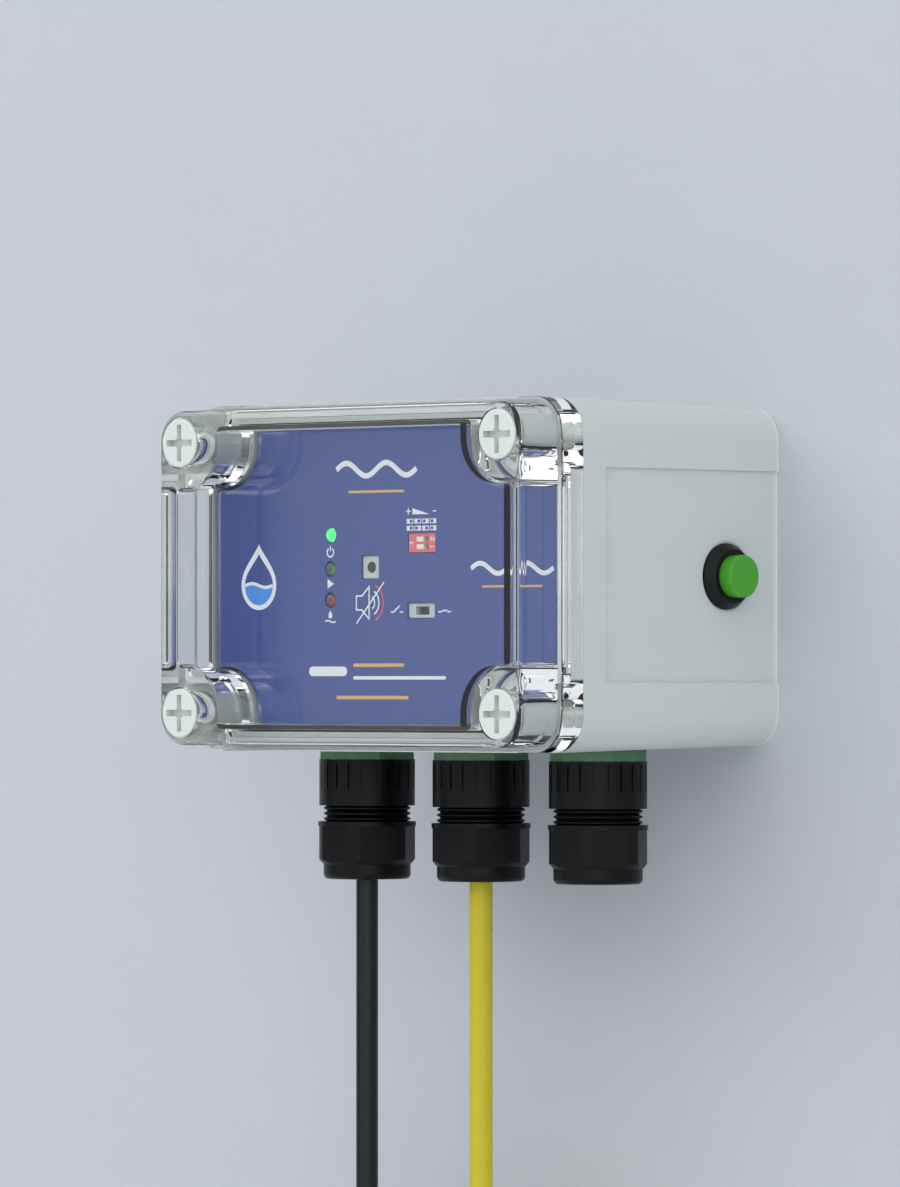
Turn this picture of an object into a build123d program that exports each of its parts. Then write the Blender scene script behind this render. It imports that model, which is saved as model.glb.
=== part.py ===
"""Leak detection controller: a deep wall box with a clear lid, three cable glands and a push button."""

import os
from math import atan, cos, degrees, hypot, pi, radians, sin

from build123d import *

# Frame and units
# Millimetres. X runs to the right seen from the front, Y into the wall, Z up.
# The origin is the middle of the back face, on the wall. "From the wall" is the distance
# towards the viewer, so a point 10 from the wall has Y = -10.

# Box
box_width = 120.0
box_height = 80.0
box_depth = 85.0
corner_radius = 8.7
lid_depth = 19.0
draft_per_side = 1.35
wall_at_joint = 4.5
floor_thickness = 3.5
back_edge_round = 0.4

# Lid screws and the corner posts that take them
screw_inset_x = 8.42
screw_inset_z = 8.76
post_reach = 9.8
notch_round = 1.5
post_clearance = 1.0
pilot_diameter = 5.8
pilot_depth = 14.5

# Lid
flange_depth = 7.0
flange_step = 1.34
flange_edge_round = 0.7
lid_front_wall = 2.8
lid_front_round = 1.3
lid_inside_step = 0.6
lid_inside_round = 1.4
seam_gap = 0.15

# Raised rim of the base, and the gasket that lies round it
rim_thickness = 1.2
rim_height = 3.3
rim_clearance = 0.3
rim_head_room = 0.8
gasket_width = 1.5
gasket_thickness = 3.2
gasket_clearance = 0.1

# Lid screws
screw_head_diameter = 11.3
screw_head_thickness = 2.3
screw_proud = 0.25
screw_shank_diameter = 9.4
screw_shank_length = 12.2
screw_neck_diameter = 6.0
screw_thread_diameter = 5.5
screw_thread_length = 13.5
screw_bore_clearance = 0.35
screw_head_round = 0.35
screw_tip_chamfer = 0.9
cross_length = 8.5
cross_width = 1.45
cross_depth = 1.9
cross_round = 0.75

# Shallow panels in the two side walls
panel_front = 58.6
panel_half_height = 24.2
panel_depth = 0.7

# Wall fixings, in bosses on the floor of the base
fixing_inset_x = 11.0
fixing_inset_z = 25.0
fixing_hole_diameter = 4.5
fixing_boss_diameter = 10.0
fixing_boss_height = 2.0

# Circuit board and what carries it
board_width = 84.0
board_height = 38.0
board_thickness = 1.6
board_below_plate = 7.9
board_corner_round = 1.0
pillar_spacing_x = 76.0
pillar_spacing_z = 30.0
pillar_boss_diameter = 8.0
pillar_boss_height = 3.0
pillar_across_flats = 5.5
pillar_stud_diameter = 3.0
pillar_stud_length = 5.0
board_hole_diameter = 3.2
board_screw_head_diameter = 5.6
board_screw_head_height = 2.2
board_screw_length = 6.0
board_screw_cross_length = 2.8
board_screw_cross_width = 0.7
board_screw_cross_depth = 1.1

# Face plate
plate_below_front = 16.3
plate_thickness = 1.5
plate_gap = 1.0
leg_spacing_x = 60.0
leg_spacing_z = 28.0
leg_diameter = 4.2
leg_pin_diameter = 2.6
leg_pin_length = 2.4
leg_pin_chamfer = 0.4
window_gap = 0.15
window_round = 0.3

# Lamps
lamp_x = -17.0
lamp_heights = {"power": 9.7, "run": 1.95, "leak": -5.25}
lamp_diameter = 3.3
lamp_hole_diameter = 3.7
lamp_proud = 0.6
lamp_flange_diameter = 4.0
lamp_flange_height = 1.0
lamp_dome_round = 1.5

# Mute switch
mute_x = -4.07
mute_z = 2.2
mute_width = 5.5
mute_height = 5.1
mute_below_plate = 0.6
plunger_diameter = 2.3
plunger_bore = 2.6
plunger_proud = 0.35
plunger_travel = 0.25
plunger_length = 1.9
plunger_round = 0.15
plunger_floor_room = 0.15

# Relay mode switch
mode_x = 12.4
mode_z = -7.8
mode_width = 8.7
mode_height = 3.25
mode_below_plate = 0.6
mode_slot_width = 4.2
mode_slot_height = 1.9
mode_slot_depth = 1.6
slider_width = 2.7
slider_height = 1.7
slider_proud = 0.2
slider_groove_width = 0.35
slider_groove_spacing = 0.9
slide_gap = 0.05

# Two-way setting switch
dip_x = 12.65
dip_z = 7.6
dip_width = 8.55
dip_height = 4.3
dip_below_plate = 0.2
dip_slot_offset_x = 0.1
dip_slot_width = 3.9
dip_slot_height = 1.25
dip_slot_depth = 1.3
dip_lever_spacing = 1.7
dip_lever_width = 2.35
dip_lever_proud = 0.1

# Pieces behind the circuit board
buzzer_x = -10.0
buzzer_z = 9.0
buzzer_diameter = 12.0
buzzer_height = 9.0
buzzer_hole_diameter = 2.0
buzzer_hole_depth = 3.0
buzzer_edge_round = 0.75
relay_wire_gap = 3.5
relay_z = 6.0
relay_width = 19.0
relay_height = 15.4
relay_depth = 15.2
relay_chamfer = 0.3
chip_x = -1.0
chip_z = -5.0
chip_width = 9.9
chip_height = 3.9
chip_depth = 1.5
chip_legs = 8
chip_leg_pitch = 1.27
chip_leg_width = 0.42
chip_leg_reach = 1.05
chip_chamfer = 0.2
capacitor_x = -28.0
capacitor_z = 7.0
capacitor_diameter = 8.0
capacitor_height = 12.0
capacitor_edge_round = 0.7
terminal_pitch = 5.0
terminal_height = 8.0
terminal_depth = 10.0
terminal_z = -14.5
terminal_entry_diameter = 2.6
terminal_entry_from_board = 3.6
terminal_screw_diameter = 3.0
terminal_screw_depth = 2.5
terminal_entry_depth = 4.0
terminal_chamfer = 1.3
power_terminal_x = -20.0
sensor_terminal_x = 0.0
contact_terminal_x = 20.0
power_ways = 2
sensor_ways = 2
contact_ways = 3

# Cable glands
entry_inset = 22.5
entry_from_joint = 28.0
entry_hole_diameter = 16.3
gland_thread_diameter = 15.8
gland_thread_length = 10.0
washer_across_corners = 22.6
washer_thickness = 3.0
washer_sides = 12
gland_body_diameter = 22.4
gland_body_height = 10.8
grip_collar = 0.85
grip_slot_length = 6.0
grip_slot_width = 0.45
grip_slot_depth = 0.5
grip_slots = 22
grip_slot_turn = -1.9
neck_gap = 3.75
neck_crest_diameter = 20.4
neck_root_diameter = 18.6
neck_pitch = 1.25
neck_crest_width = 0.25
nut_thread_diameter = 18.0
nut_thread_depth = 7.6
nut_hex_height = 10.0
nut_across_flats = 20.9
nut_across_corners = 22.6
nut_chamfer = 1.3
nut_rim_diameter = 22.9
nut_rim_height = 1.1
nut_collar_diameter = 20.4
nut_collar_height = 3.45
nut_collar_round = 1.2
nut_mouth_diameter = 11.0
seal_outer_diameter = 13.0
seal_length = 11.0
seal_clearance = 0.1
spare_seal_bore = 6.0
gland_bore = 9.0
locknut_across_flats = 20.0
locknut_thickness = 4.5
locknut_clearance = 0.1
seat_margin = 0.5
seat_depth = 0.1

# Push button in the right wall
button_from_wall = 17.5
button_z = 0.0
bezel_base_diameter = 15.2
bezel_top_diameter = 12.4
bezel_height = 2.8
bezel_rim_height = 0.56
button_shank_diameter = 12.0
button_hole_diameter = 12.3
button_shank_length = 18.5
button_cap_diameter = 9.7
button_cap_proud = 3.3
button_cap_length = 12.6
button_cap_round = 0.45
button_bore_clearance = 0.2
button_travel = 1.5
button_floor_room = 0.4
button_nut_across_flats = 17.0
button_nut_thickness = 3.0
button_tab_spacing = 5.0
button_tab_length = 4.5
button_tab_width = 2.0
button_tab_thickness = 0.5

# Leads, their coils and what is on their ends
power_lead_diameter = 5.2
sensor_lead_diameter = 5.4
lead_inside_gland = 28.5
lead_drop = 80.0
shift_share = 0.65
shift_back = 7.0
shift_down = 14.0
coil_drop = 53.8
coil_columns = 5
coil_layers = 2
coil_width_in_diameters = 11.0
turn_gap = 0.2
meet_angle = 45.0
tie_angle = 78.0
tie_width = 5.0
tie_thickness = 1.2
tail_length = 26.0
plug_length = 20.0
plug_diameter = 9.6
plug_neck_length = 9.0
plug_neck_diameter = 6.6
plug_round = 0.8
plug_tip_diameter = 5.5
plug_tip_bore = 2.1
plug_tip_length = 9.5
connector_ring_diameter = 10.0
connector_ring_length = 8.0
connector_body_length = 13.0
connector_body_diameter = 8.6
connector_bore = 7.2
connector_bore_depth = 4.0
connector_flutes = 16
connector_flute_width = 0.7

# Wires inside the box
core_diameter = 1.3
core_spacing = 1.1
core_in_terminal = 3.0
core_bend = 4.0

# Values that follow from those above
base_depth = box_depth - lid_depth
entry_spacing = box_width / 2 - entry_inset
entry_from_wall = base_depth - entry_from_joint
post_length = entry_from_joint - locknut_across_flats / 2 - post_clearance
fixing_spacing_x = box_width - 2 * fixing_inset_x
fixing_spacing_z = box_height - 2 * fixing_inset_z
plate_front = box_depth - plate_below_front
board_front = plate_front - board_below_plate
mute_front = plate_front - mute_below_plate
mode_front = plate_front - mode_below_plate
dip_front = plate_front - dip_below_plate
draft_angle = degrees(atan(draft_per_side / base_depth))
cavity_half_width = box_width / 2 - wall_at_joint
cavity_half_height = box_height / 2 - wall_at_joint
screw_x = box_width / 2 - screw_inset_x
screw_z = box_height / 2 - screw_inset_z
board_back = board_front - board_thickness
plate_back = plate_front - plate_thickness
far = 2 * box_width
match_within = 0.01
bend_share = 0.45


def drafted(half_size, from_wall):
    """Half the outside size of the base at a distance from the wall."""
    return half_size - draft_per_side * (1 - from_wall / base_depth)


def wall_plane(from_wall):
    """A plane parallel to the wall: sketches on it are drawn in X and Z, and extrude to the viewer."""
    return Plane.XZ.offset(from_wall)


def save(built, name):
    """Labels a finished piece and writes its file."""
    built.part.label = name
    export_step(built.part, f"parts/{name}.step")


def notched_outline(grow):
    """Draws the box's inside outline: a rectangle with a round notch about each lid screw.
    A positive grow moves the whole outline outwards by that much."""
    half_width = cavity_half_width + grow
    half_height = cavity_half_height + grow
    reach = post_reach - grow
    cut = 2 * post_reach
    Rectangle(2 * half_width, 2 * half_height)
    with GridLocations(2 * screw_x, 2 * screw_z, 2, 2):
        Circle(reach, mode=Mode.SUBTRACT)
    with GridLocations(2 * screw_x + cut, 2 * screw_z + cut - reach, 2, 2):
        Rectangle(cut, cut + reach, mode=Mode.SUBTRACT)
    with GridLocations(2 * screw_x + cut - reach, 2 * screw_z + cut, 2, 2):
        Rectangle(cut + reach, cut, mode=Mode.SUBTRACT)
    outer = vertices().filter_by(
        lambda v: abs(v.X) > half_width - match_within or abs(v.Y) > half_height - match_within
    )
    fillet(outer, radius=notch_round)


os.makedirs("parts", exist_ok=True)

# Base: a drafted tray with corner posts, a raised rim and bosses on its floor
entry_xs = [-entry_spacing, 0.0, entry_spacing]
seat_radius = washer_across_corners / 2 + seat_margin
seat_z = seat_depth - drafted(box_height / 2, entry_from_wall - seat_radius)
bezel_seat_radius = bezel_base_diameter / 2 + seat_margin
bezel_edge_x = drafted(box_width / 2, button_from_wall - bezel_seat_radius)
bezel_seat = bezel_edge_x - panel_depth - seat_depth
shank_end = bezel_seat - button_shank_length
tab_end = shank_end - button_tab_length
board_joint_x = tab_end - terminal_pitch
relay_x = board_joint_x - relay_wire_gap - relay_width / 2
side_run = (base_depth**2 + draft_per_side**2) ** 0.5

with BuildPart() as base_housing:
    with BuildSketch(wall_plane(base_depth)):
        RectangleRounded(box_width, box_height, corner_radius)
    extrude(amount=-base_depth, taper=draft_angle)
    back_rim = base_housing.faces().sort_by(Axis.Y)[-1].edges()
    fillet(back_rim, radius=back_edge_round)
    with BuildSketch(wall_plane(base_depth)):
        notched_outline(rim_thickness)
    extrude(amount=rim_height)
    # The inside: posts in the corners take the lid screws, and end above the cable entries
    with BuildSketch(wall_plane(base_depth - post_length)):
        notched_outline(0)
    extrude(amount=far, mode=Mode.SUBTRACT)
    with BuildSketch(wall_plane(floor_thickness)):
        RectangleRounded(
            2 * cavity_half_width, 2 * cavity_half_height, corner_radius - wall_at_joint
        )
    extrude(amount=base_depth - post_length - floor_thickness, mode=Mode.SUBTRACT)
    # Shallow panels, as deep at the back edge as at the front
    for side in (-1, 1):
        along_wall = Plane(
            origin=(side * box_width / 2, -base_depth, 0),
            x_dir=(-side * draft_per_side, base_depth, 0),
            z_dir=(side * base_depth, draft_per_side, 0),
        )
        with BuildSketch(along_wall):
            with Locations((base_depth - panel_front, 0)):
                Rectangle(side_run, 2 * panel_half_height, align=(Align.MIN, Align.CENTER))
        extrude(amount=-panel_depth, mode=Mode.SUBTRACT)
    # Pilot holes for the lid screws
    with BuildSketch(wall_plane(base_depth)):
        with GridLocations(2 * screw_x, 2 * screw_z, 2, 2):
            Circle(pilot_diameter / 2)
    extrude(amount=-pilot_depth, mode=Mode.SUBTRACT)
    # Bosses on the floor, for the wall fixings and for the board's pillars
    with BuildSketch(wall_plane(floor_thickness)):
        with GridLocations(fixing_spacing_x, fixing_spacing_z, 2, 2):
            Circle(fixing_boss_diameter / 2)
    extrude(amount=fixing_boss_height)
    with BuildSketch(wall_plane(floor_thickness)):
        with GridLocations(pillar_spacing_x, pillar_spacing_z, 2, 2):
            Circle(pillar_boss_diameter / 2)
    extrude(amount=pillar_boss_height)
    with BuildSketch(wall_plane(0)):
        with GridLocations(fixing_spacing_x, fixing_spacing_z, 2, 2):
            Circle(fixing_hole_diameter / 2)
    extrude(amount=floor_thickness + fixing_boss_height, mode=Mode.SUBTRACT)
    with BuildSketch(wall_plane(floor_thickness + pillar_boss_height)):
        with GridLocations(pillar_spacing_x, pillar_spacing_z, 2, 2):
            Circle(pillar_stud_diameter / 2)
    extrude(amount=-pillar_stud_length, mode=Mode.SUBTRACT)
    # Cable entries in the lower wall, each with a flat seat for its washer
    with BuildSketch(Plane.XY.offset(seat_z)):
        for x in entry_xs:
            with Locations((x, -entry_from_wall)):
                Circle(seat_radius)
    extrude(amount=-draft_per_side, mode=Mode.SUBTRACT)
    with BuildSketch(Plane.XY.offset(seat_z)):
        for x in entry_xs:
            with Locations((x, -entry_from_wall)):
                Circle(entry_hole_diameter / 2)
    extrude(amount=2 * wall_at_joint, mode=Mode.SUBTRACT)
    # Hole and flat seat for the push button
    with BuildSketch(Plane.YZ.offset(bezel_seat)):
        with Locations((-button_from_wall, button_z)):
            Circle(bezel_seat_radius)
    extrude(amount=draft_per_side, mode=Mode.SUBTRACT)
    with BuildSketch(Plane.YZ.offset(cavity_half_width)):
        with Locations((-button_from_wall, button_z)):
            Circle(button_hole_diameter / 2)
    extrude(amount=wall_at_joint, both=True, mode=Mode.SUBTRACT)
save(base_housing, "base_housing")

# Lid: a clear tray whose flange sits on the base, with a long bore for each screw
shank_seat = box_depth + screw_proud - screw_head_thickness - screw_shank_length
with BuildPart() as clear_lid:
    with BuildSketch(wall_plane(base_depth + seam_gap)):
        RectangleRounded(box_width, box_height, corner_radius)
    extrude(amount=flange_depth - seam_gap)
    flange_rim = clear_lid.faces().sort_by(Axis.Y)[0].edges()
    fillet(flange_rim, radius=flange_edge_round)
    with BuildSketch(wall_plane(base_depth + flange_depth / 2)):
        RectangleRounded(
            box_width - 2 * flange_step,
            box_height - 2 * flange_step,
            corner_radius - flange_step,
        )
    extrude(amount=lid_depth - flange_depth / 2)
    front_rim = clear_lid.faces().sort_by(Axis.Y)[0].edges()
    fillet(front_rim, radius=lid_front_round)
    with BuildSketch(wall_plane(base_depth)):
        notched_outline(-lid_inside_step)
    extrude(amount=lid_depth - lid_front_wall, mode=Mode.SUBTRACT)
    inner_front = clear_lid.faces().filter_by(Axis.Y).sort_by(Axis.Y)[1]
    fillet(inner_front.edges(), radius=lid_inside_round)
    with BuildSketch(wall_plane(base_depth)):
        notched_outline(rim_thickness + rim_clearance)
    extrude(amount=rim_height + rim_head_room, mode=Mode.SUBTRACT)
    with BuildSketch(wall_plane(base_depth)):
        notched_outline(rim_thickness + rim_clearance + gasket_width)
    extrude(amount=gasket_thickness + seam_gap, mode=Mode.SUBTRACT)
    # Screw bores: a wide one for the head, one for the shank, a narrow one at the seat
    with BuildSketch(wall_plane(box_depth + screw_proud - screw_head_thickness)):
        with GridLocations(2 * screw_x, 2 * screw_z, 2, 2):
            Circle(screw_head_diameter / 2 + screw_bore_clearance)
    extrude(amount=screw_head_thickness, mode=Mode.SUBTRACT)
    with BuildSketch(wall_plane(shank_seat)):
        with GridLocations(2 * screw_x, 2 * screw_z, 2, 2):
            Circle(screw_shank_diameter / 2 + screw_bore_clearance)
    extrude(amount=screw_shank_length, mode=Mode.SUBTRACT)
    with BuildSketch(wall_plane(base_depth)):
        with GridLocations(2 * screw_x, 2 * screw_z, 2, 2):
            Circle(screw_neck_diameter / 2 + screw_bore_clearance)
    extrude(amount=lid_depth - screw_head_thickness, mode=Mode.SUBTRACT)
save(clear_lid, "clear_lid")

# Gasket: a soft cord that lies round the rim, between base and lid
with BuildPart() as lid_gasket:
    with BuildSketch(wall_plane(base_depth)):
        notched_outline(rim_thickness + rim_clearance + gasket_width - gasket_clearance)
    extrude(amount=gasket_thickness)
    with BuildSketch(wall_plane(base_depth)):
        notched_outline(rim_thickness + gasket_clearance)
    extrude(amount=gasket_thickness, mode=Mode.SUBTRACT)
save(lid_gasket, "lid_gasket")

# Lid screws: plastic, with a wide head, a long plain shank and a short thread in the post
head_back = box_depth + screw_proud - screw_head_thickness
with BuildPart() as lid_screws:
    with BuildSketch(wall_plane(head_back)):
        with GridLocations(2 * screw_x, 2 * screw_z, 2, 2):
            Circle(screw_head_diameter / 2)
    extrude(amount=screw_head_thickness)
    head_rims = lid_screws.edges().group_by(Axis.Y)[0]
    fillet(head_rims, radius=screw_head_round)
    with BuildSketch(wall_plane(shank_seat)):
        with GridLocations(2 * screw_x, 2 * screw_z, 2, 2):
            Circle(screw_shank_diameter / 2)
    extrude(amount=screw_shank_length)
    with BuildSketch(wall_plane(base_depth)):
        with GridLocations(2 * screw_x, 2 * screw_z, 2, 2):
            Circle(screw_neck_diameter / 2)
    extrude(amount=shank_seat - base_depth)
    with BuildSketch(wall_plane(base_depth)):
        with GridLocations(2 * screw_x, 2 * screw_z, 2, 2):
            Circle(screw_thread_diameter / 2)
    extrude(amount=-screw_thread_length)
    thread_tips = lid_screws.edges().group_by(Axis.Y)[-1]
    chamfer(thread_tips, length=screw_tip_chamfer)
    with BuildSketch(wall_plane(box_depth + screw_proud)):
        with GridLocations(2 * screw_x, 2 * screw_z, 2, 2):
            Rectangle(cross_length, cross_width)
            Rectangle(cross_width, cross_length)
        inner_corners = vertices().filter_by(
            lambda v: abs(abs(abs(v.X) - screw_x) - cross_width / 2) < match_within
            and abs(abs(abs(v.Y) - screw_z) - cross_width / 2) < match_within
        )
        fillet(inner_corners, radius=cross_round)
    extrude(amount=-cross_depth, mode=Mode.SUBTRACT)
save(lid_screws, "lid_screws")

# Face plate: follows the rim's inside, and stands on four legs that snap into the board
with BuildPart() as face_plate:
    with BuildSketch(wall_plane(plate_back)):
        notched_outline(-plate_gap)
    extrude(amount=plate_thickness)
    with BuildSketch(wall_plane(plate_back)):
        for height in lamp_heights.values():
            with Locations((lamp_x, height)):
                Circle(lamp_hole_diameter / 2)
        with Locations((mute_x, mute_z)):
            RectangleRounded(mute_width + 2 * window_gap, mute_height + 2 * window_gap, window_round)
        with Locations((mode_x, mode_z)):
            RectangleRounded(mode_width + 2 * window_gap, mode_height + 2 * window_gap, window_round)
        with Locations((dip_x, dip_z)):
            RectangleRounded(dip_width + 2 * window_gap, dip_height + 2 * window_gap, window_round)
    extrude(amount=plate_thickness, mode=Mode.SUBTRACT)
    with BuildSketch(wall_plane(board_front)):
        with GridLocations(leg_spacing_x, leg_spacing_z, 2, 2):
            Circle(leg_diameter / 2)
    extrude(amount=plate_back - board_front)
    with BuildSketch(wall_plane(board_front)):
        with GridLocations(leg_spacing_x, leg_spacing_z, 2, 2):
            Circle(leg_pin_diameter / 2)
    extrude(amount=-leg_pin_length)
    pin_tips = face_plate.edges().group_by(Axis.Y)[-1]
    chamfer(pin_tips, length=leg_pin_chamfer)
save(face_plate, "face_plate")

# Circuit board, with holes for its screws and for the plate's legs
with BuildPart() as circuit_board:
    with BuildSketch(wall_plane(board_back)):
        RectangleRounded(board_width, board_height, board_corner_round)
        with GridLocations(pillar_spacing_x, pillar_spacing_z, 2, 2):
            Circle(board_hole_diameter / 2, mode=Mode.SUBTRACT)
        with GridLocations(leg_spacing_x, leg_spacing_z, 2, 2):
            Circle(board_hole_diameter / 2, mode=Mode.SUBTRACT)
    extrude(amount=board_thickness)
save(circuit_board, "circuit_board")

# Pillars: hexagonal spacers from the floor's bosses to the board
boss_top = floor_thickness + pillar_boss_height
with BuildPart() as board_pillars:
    with BuildSketch(wall_plane(boss_top)):
        with GridLocations(pillar_spacing_x, pillar_spacing_z, 2, 2):
            RegularPolygon(pillar_across_flats / 2, 6, major_radius=False)
    extrude(amount=board_back - boss_top)
    with BuildSketch(wall_plane(boss_top)):
        with GridLocations(pillar_spacing_x, pillar_spacing_z, 2, 2):
            Circle(pillar_stud_diameter / 2 - window_gap)
    extrude(amount=-pillar_stud_length + window_gap)
    with BuildSketch(wall_plane(board_back)):
        with GridLocations(pillar_spacing_x, pillar_spacing_z, 2, 2):
            Circle(pillar_stud_diameter / 2)
    extrude(amount=-board_screw_length, mode=Mode.SUBTRACT)
save(board_pillars, "board_pillars")

# Screws that hold the board on its pillars
with BuildPart() as board_screws:
    with BuildSketch(wall_plane(board_front)):
        with GridLocations(pillar_spacing_x, pillar_spacing_z, 2, 2):
            Circle(board_screw_head_diameter / 2)
    extrude(amount=board_screw_head_height)
    pan_rims = board_screws.edges().group_by(Axis.Y)[0]
    fillet(pan_rims, radius=board_screw_head_height / 2)
    with BuildSketch(wall_plane(board_front)):
        with GridLocations(pillar_spacing_x, pillar_spacing_z, 2, 2):
            Circle(pillar_stud_diameter / 2 - window_gap)
    extrude(amount=-board_screw_length)
    with BuildSketch(wall_plane(board_front + board_screw_head_height)):
        with GridLocations(pillar_spacing_x, pillar_spacing_z, 2, 2):
            Rectangle(board_screw_cross_length, board_screw_cross_width)
            Rectangle(board_screw_cross_width, board_screw_cross_length)
    extrude(amount=-board_screw_cross_depth, mode=Mode.SUBTRACT)
save(board_screws, "board_screws")

# Lamps: domed, with a flange on the board
lamp_top = plate_front + lamp_proud
for lamp, height in lamp_heights.items():
    with BuildPart() as led:
        with BuildSketch(wall_plane(board_front)):
            with Locations((lamp_x, height)):
                Circle(lamp_diameter / 2)
        extrude(amount=lamp_top - board_front)
        dome_rim = led.faces().sort_by(Axis.Y)[0].edges()
        fillet(dome_rim, radius=lamp_dome_round)
        with BuildSketch(wall_plane(board_front)):
            with Locations((lamp_x, height)):
                Circle(lamp_flange_diameter / 2)
        extrude(amount=lamp_flange_height)
    save(led, f"led_{lamp}")

# Mute switch: a square body with a round well, and the plunger in it
plunger_back = mute_front + plunger_proud - plunger_length
mute_well = plunger_back - plunger_travel - plunger_floor_room
with BuildPart() as mute_switch:
    with BuildSketch(wall_plane(board_front)):
        with Locations((mute_x, mute_z)):
            RectangleRounded(mute_width, mute_height, window_round)
    extrude(amount=mute_front - board_front)
    with BuildSketch(wall_plane(mute_well)):
        with Locations((mute_x, mute_z)):
            Circle(plunger_bore / 2)
    extrude(amount=far, mode=Mode.SUBTRACT)
save(mute_switch, "mute_switch")

with BuildPart() as mute_plunger:
    with BuildSketch(wall_plane(plunger_back)):
        with Locations((mute_x, mute_z)):
            Circle(plunger_diameter / 2)
    extrude(amount=plunger_length)
    plunger_rim = mute_plunger.faces().sort_by(Axis.Y)[0].edges()
    fillet(plunger_rim, radius=plunger_round)
save(mute_plunger, "mute_plunger")

# Relay mode switch: a slider in a slot, here at its right-hand stop
with BuildPart() as relay_mode_switch:
    with BuildSketch(wall_plane(board_front)):
        with Locations((mode_x, mode_z)):
            RectangleRounded(mode_width, mode_height, window_round)
    extrude(amount=mode_front - board_front)
    with BuildSketch(wall_plane(mode_front)):
        with Locations((mode_x, mode_z)):
            Rectangle(mode_slot_width, mode_slot_height)
    extrude(amount=-mode_slot_depth, mode=Mode.SUBTRACT)
save(relay_mode_switch, "relay_mode_switch")

slider_x = mode_x + mode_slot_width / 2 - slide_gap - slider_width / 2
slider_back = mode_front - mode_slot_depth + slide_gap
with BuildPart() as relay_mode_slider:
    with BuildSketch(wall_plane(slider_back)):
        with Locations((slider_x, mode_z)):
            Rectangle(slider_width, slider_height)
    extrude(amount=mode_front + slider_proud - slider_back)
    # Two grooves across the top, for a fingernail
    with BuildSketch(wall_plane(mode_front + slider_proud)):
        with Locations((slider_x, mode_z)):
            with GridLocations(slider_groove_spacing, 0, 2, 1):
                Rectangle(slider_groove_width, slider_height)
    extrude(amount=-slider_proud, mode=Mode.SUBTRACT)
save(relay_mode_slider, "relay_mode_slider")

# Two-way setting switch, with both levers at their left-hand stops
with BuildPart() as dip_switch_body:
    with BuildSketch(wall_plane(board_front)):
        with Locations((dip_x, dip_z)):
            Rectangle(dip_width, dip_height)
    extrude(amount=dip_front - board_front)
    with BuildSketch(wall_plane(dip_front)):
        with Locations((dip_x + dip_slot_offset_x, dip_z)):
            with GridLocations(0, dip_lever_spacing, 1, 2):
                Rectangle(dip_slot_width, dip_slot_height)
    extrude(amount=-dip_slot_depth, mode=Mode.SUBTRACT)
save(dip_switch_body, "dip_switch_body")

lever_x = dip_x + dip_slot_offset_x - dip_slot_width / 2 + slide_gap + dip_lever_width / 2
lever_back = dip_front - dip_slot_depth + slide_gap
for number, side in ((1, -1), (2, 1)):
    with BuildPart() as dip_lever:
        with BuildSketch(wall_plane(lever_back)):
            with Locations((lever_x, dip_z + side * dip_lever_spacing / 2)):
                Rectangle(dip_lever_width, dip_slot_height - 2 * slide_gap)
        extrude(amount=dip_front + dip_lever_proud - lever_back)
        lever_ends = dip_lever.faces().sort_by(Axis.Y)[0].edges().filter_by(Axis.Z)
        chamfer(lever_ends, length=dip_lever_proud)
    save(dip_lever, f"dip_lever_{number}")

# Buzzer: a round can with a sound hole, behind the board
with BuildPart() as alarm_buzzer:
    with BuildSketch(wall_plane(board_back)):
        with Locations((buzzer_x, buzzer_z)):
            Circle(buzzer_diameter / 2)
    extrude(amount=-buzzer_height)
    can_rim = alarm_buzzer.faces().sort_by(Axis.Y)[-1].edges()
    fillet(can_rim, radius=buzzer_edge_round)
    with BuildSketch(wall_plane(board_back - buzzer_height)):
        with Locations((buzzer_x, buzzer_z)):
            Circle(buzzer_hole_diameter / 2)
    extrude(amount=buzzer_hole_depth, mode=Mode.SUBTRACT)
save(alarm_buzzer, "alarm_buzzer")

# Relay
with BuildPart() as alarm_relay:
    with BuildSketch(wall_plane(board_back)):
        with Locations((relay_x, relay_z)):
            RectangleRounded(relay_width, relay_height, window_round)
    extrude(amount=-relay_depth)
    relay_rim = alarm_relay.faces().sort_by(Axis.Y)[-1].edges()
    chamfer(relay_rim, length=relay_chamfer)
save(alarm_relay, "alarm_relay")

# Microcontroller: a flat body with a row of legs on each long side
with BuildPart() as microcontroller:
    with BuildSketch(wall_plane(board_back)):
        with Locations((chip_x, chip_z)):
            Rectangle(chip_width, chip_height)
    extrude(amount=-chip_depth)
    chip_rim = microcontroller.faces().sort_by(Axis.Y)[-1].edges()
    chamfer(chip_rim, length=chip_chamfer)
    with BuildSketch(wall_plane(board_back)):
        with Locations((chip_x, chip_z)):
            with GridLocations(chip_leg_pitch, 0, chip_legs, 1):
                Rectangle(chip_leg_width, chip_height + 2 * chip_leg_reach)
    extrude(amount=-chip_leg_width)
save(microcontroller, "microcontroller")

# Smoothing capacitor
with BuildPart() as smoothing_capacitor:
    with BuildSketch(wall_plane(board_back)):
        with Locations((capacitor_x, capacitor_z)):
            Circle(capacitor_diameter / 2)
    extrude(amount=-capacitor_height)
    capacitor_rim = smoothing_capacitor.faces().sort_by(Axis.Y)[-1].edges()
    fillet(capacitor_rim, radius=capacitor_edge_round)
save(smoothing_capacitor, "smoothing_capacitor")

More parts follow.
